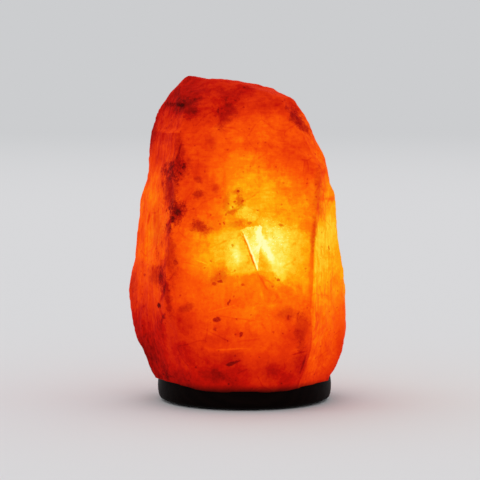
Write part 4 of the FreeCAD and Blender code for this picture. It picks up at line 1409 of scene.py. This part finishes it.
bulge = GLASS_HIGH - GLASS_RADIUS
flank_x = GLASS_RADIUS - FLANK_RADIUS
throat = (flank_x + FLANK_RADIUS * math.cos(FLANK_SWEEP) - NECK_RADIUS) / (1 - math.cos(FLANK_SWEEP))
throat_x = flank_x + (FLANK_RADIUS + throat) * math.cos(FLANK_SWEEP)
throat_z = bulge - (FLANK_RADIUS + throat) * math.sin(FLANK_SWEEP)
envelope = turned("blown_envelope", 72, [
    (NECK_RADIUS, GLASS_LOW), *arc(throat_x, throat_z, throat, math.pi, math.pi - FLANK_SWEEP, 12),
    *arc(flank_x, bulge, FLANK_RADIUS, -FLANK_SWEEP, 0, 14), *arc(0, bulge, GLASS_RADIUS, 0, math.pi / 2, 18),
    (0, GLASS_HIGH),
], shut=False)
apply_modifier(envelope, "SOLIDIFY", thickness=GLASS_WALL * MM, offset=-1.0)
finished(envelope, "bulb", "clear_glass", "bulb_glass", crease=60.0)

# %% [markdown]
# ## Stem and wires
# Inside, a glass tube flares at its foot, where it is fused to the neck, and is pinched flat at its top
# round the wires. The two leads spread to the ends of the filament, and two thinner supports hook under its
# middle. Wires are curves with a round section, turned into meshes. The filament is one long helix that
# follows the hooks.

# %% Pinch the stem

STEM_HIGH = heights("glass_stem")[1]
PINCH_LOW = STEM_HIGH - 4.0
PINCHES = ((-1.1, 1.1, 0.8), (-0.1, 1.15, 0.7), (1.2, 1.08, 0.8))     # start over PINCH_LOW, wider, flatter

stem = turned("pinched_stem", 40, [
    (0, GLASS_LOW + 0.6), (4.5, GLASS_LOW + 0.2), (4.8, GLASS_LOW + 0.5), (4.5, GLASS_LOW + 1.2),
    (3.2, GLASS_LOW + 3.0), (2.4, GLASS_LOW + 5.0), (2.2, GLASS_LOW + 8.0), (2.2, PINCH_LOW - 2.0),
    (2.25, PINCH_LOW - 1.0), (2.3, PINCH_LOW), (2.3, PINCH_LOW + 1.3), (2.3, PINCH_LOW + 2.6),
    (2.2, STEM_HIGH - 0.5), (1.6, STEM_HIGH), (0, STEM_HIGH),
])
with editing(stem):
    for start, wider, flatter in PINCHES:
        choose("verts", lambda v: v.co.z / MM > PINCH_LOW + start)
        bpy.ops.transform.resize(value=(wider, flatter, 1), center_override=(0, 0, 0))
finished(stem, "bulb", "stem_glass", "glass_stem", crease=60.0)

# %% Bend the wires

LEAD_WIRE, SUPPORT_WIRE = 0.27, 0.13            # radius of the wire
FILAMENT_LOW, FILAMENT_HIGH = 91.9, 95.0
LEAD_SPREAD, SUPPORT_SPREAD = 6.5, 2.2


def wire(name, points, radius, sides=3):
    """A round wire through points in millimetres, as a mesh with closed ends."""
    line = bpy.data.curves.new(name, "CURVE")
    line.dimensions = "3D"
    line.bevel_depth = radius * MM
    line.bevel_resolution = sides
    line.use_fill_caps = True
    spline = line.splines.new("POLY")
    spline.points.add(len(points) - 1)
    for point, place in zip(spline.points, points):
        point.co = (*[value * MM for value in place], 1)
    piece = bpy.data.objects.new(name, line)
    bpy.context.scene.collection.objects.link(piece)
    take_up(piece)
    bpy.ops.object.convert(target="MESH")
    seal(bpy.context.object)
    return bpy.context.object


def bent_wire(name, side, line, radius, node):
    """A wire of the bulb along (x, z) points, for the right side, or mirrored for the left."""
    piece = wire(name, [(side * x, 0, z) for x, z in line], radius)
    finished(piece, "bulb", "nickel_wire", node, crease=60.0)


lead_line = [
    (2.3, STEM_HIGH - 1.5), (2.4, STEM_HIGH + 0.5), (3.0, STEM_HIGH + 2.4), (4.4, STEM_HIGH + 6.0),
    (5.9, STEM_HIGH + 9.6), (6.2, STEM_HIGH + 10.6),
    *arc(LEAD_SPREAD - 0.15, 91.0, 0.3, math.radians(150), math.radians(-30), 6),
]
support_line = [
    (0.8, STEM_HIGH - 1.0), (0.85, STEM_HIGH + 1.0), (1.9, 92.4),
    *arc(SUPPORT_SPREAD, 94.6, 0.45, math.radians(240), math.radians(-60), 10),
]
for side, word in ((-1, "left"), (1, "right")):
    bent_wire(f"lead_wire_{word}", side, lead_line, LEAD_WIRE, "lead_wires")
    bent_wire(f"support_wire_{word}", side, support_line, SUPPORT_WIRE, "support_wires")

# %% [markdown]
# The filament is tungsten, white hot in the middle of the coil and cooler where the leads draw its heat
# off.

# %% Glowing wire

COLD = 46.0             # square of the distance from the middle, in mm, at which the wire is cold


def glowing_wire():
    finish = Finish("tungsten")
    x = finish.axis(finish.place(), "X")
    heat = (1 - x * x / COLD).held()
    finish.set(
        Base_Color=finish.mixed(heat, (0.32, 0.29, 0.25, 1), (0.5, 0.47, 0.42, 1)),
        Metallic=1.0, Roughness=0.5,
        Emission_Color=finish.mixed(heat, (1.0, 0.35, 0.06, 1), (1.0, 0.78, 0.42, 1)), Emission_Strength=6.0,
    )


glowing_wire()

# %% Coil the filament

COILS = 64
COIL_STEPS = 8          # points on each coil
COIL_RADIUS = 0.26
COIL_WIRE = 0.05
SAG = 0.3

path = [
    (-LEAD_SPREAD, FILAMENT_LOW), (-SUPPORT_SPREAD, FILAMENT_HIGH), (SUPPORT_SPREAD, FILAMENT_HIGH),
    (LEAD_SPREAD, FILAMENT_LOW),
]
lengths = [math.dist(a, b) for a, b in zip(path, path[1:])]
coil = []
for k in range(COILS * COIL_STEPS + 1):
    reach = sum(lengths) * k / (COILS * COIL_STEPS)
    leg = 0
    while leg < 2 and reach > lengths[leg]:
        reach -= lengths[leg]
        leg += 1
    (x0, z0), (x1, z1) = path[leg], path[leg + 1]
    share = reach / lengths[leg]
    sag = SAG * math.sin(math.pi * share)
    turn = 2 * math.pi / COIL_STEPS * k
    coil.append((
        x0 + (x1 - x0) * share, COIL_RADIUS * math.cos(turn),
        z0 + (z1 - z0) * share - sag + COIL_RADIUS * math.sin(turn),
    ))
filament = wire("coiled_filament", coil, COIL_WIRE, sides=1)
finished(filament, "bulb", "tungsten", "filament", crease=80.0)

# %% [markdown]
# ## Floor, light and camera
# The lamp stands on a pale floor that fades into a pale room. The floor lets the light of a camera below it
# through, so the underside can be looked at too. The studio light is soft and even.

# %% Floor and room

ROOM = tint(204, 205, 207)
FLOOR_FADE = (1500.0, 6500.0)   # mm from the lamp between which the floor fades into the room
FLOOR_RADIUS = 12.0             # metres
FLOOR_DROP = 0.2                # mm under the felt


def seen_directly(finish):
    """1 for rays from the camera, also after a mirror or through glass; 0 for light that falls on things."""
    camera, glossy, through = (
        finish.node("ShaderNodeLightPath", output=name)
        for name in ("Is Camera Ray", "Is Glossy Ray", "Is Transmission Ray")
    )
    return (camera + glossy + through).held()


def pale_floor():
    finish = Finish("pale_floor")
    finish.set(Base_Color=(0.70, 0.70, 0.715, 1.0), Roughness=0.9, Specular_IOR_Level=0.0)
    far = finish.vector("LENGTH", finish.place(), output="Value").step(*FLOOR_FADE)
    room = finish.node("ShaderNodeEmission", {}, {"Color": ROOM, "Strength": 1.0})
    lit = Wire(finish, finish.shader.outputs[0])
    faded = finish.node("ShaderNodeMixShader", {}, {0: far * seen_directly(finish), 1: lit, 2: room})
    under = finish.node("ShaderNodeNewGeometry", output="Backfacing")
    clear = finish.node("ShaderNodeBsdfTransparent")
    sided = finish.node("ShaderNodeMixShader", {}, {0: under, 1: faded, 2: clear})
    finish.feed(finish.tree.nodes["Material Output"].inputs["Surface"], sided)


pale_floor()
floor = added(
    bpy.ops.mesh.primitive_circle_add,
    vertices=96, radius=FLOOR_RADIUS, fill_type="NGON", location=(0, 0, -FLOOR_DROP * MM),
)
floor.name = "floor"
dress(floor, "pale_floor")

# %% Room light

LIGHT_LEVEL = 0.86


class Room(Finish):
    """The world's own node tree, built with the same method."""

    def __init__(self):
        world = bpy.data.worlds.new("studio")
        world.use_nodes = True
        bpy.context.scene.world = world
        self.tree = world.node_tree


room = Room()
view = room.node("ShaderNodeBackground", {}, {"Color": ROOM, "Strength": 1.0})
light = room.node("ShaderNodeBackground", {}, {"Color": (1.0, 1.0, 1.0, 1.0), "Strength": LIGHT_LEVEL})
whole = room.node("ShaderNodeMixShader", {}, {0: seen_directly(room), 1: light, 2: view})
room.feed(room.tree.nodes["World Output"].inputs["Surface"], whole)

# %% Soft key light

KEY_STRENGTH = 0.40
KEY_SPREAD = math.radians(60)

key = bpy.data.objects.new("key light", bpy.data.lights.new("key light", "SUN"))
key.data.energy = KEY_STRENGTH
key.data.angle = KEY_SPREAD
key.rotation_euler = (math.radians(-14), math.radians(-16), 0)
bpy.context.scene.collection.objects.link(key)

# %% Camera

EYE = (-2.7 * MM, -1.3, 0.194)
LOOKING_DOWN = 4.317
LENS = 162.5
FILM_WIDTH = 36.0

camera = bpy.data.objects.new("camera", bpy.data.cameras.new("camera"))
camera.location = EYE
camera.rotation_euler = (math.radians(90 - LOOKING_DOWN), 0, 0)
camera.data.lens = LENS
camera.data.sensor_width = FILM_WIDTH
bpy.context.scene.collection.objects.link(camera)
bpy.context.scene.camera = camera
bpy.context.scene.view_settings.view_transform = "Standard"
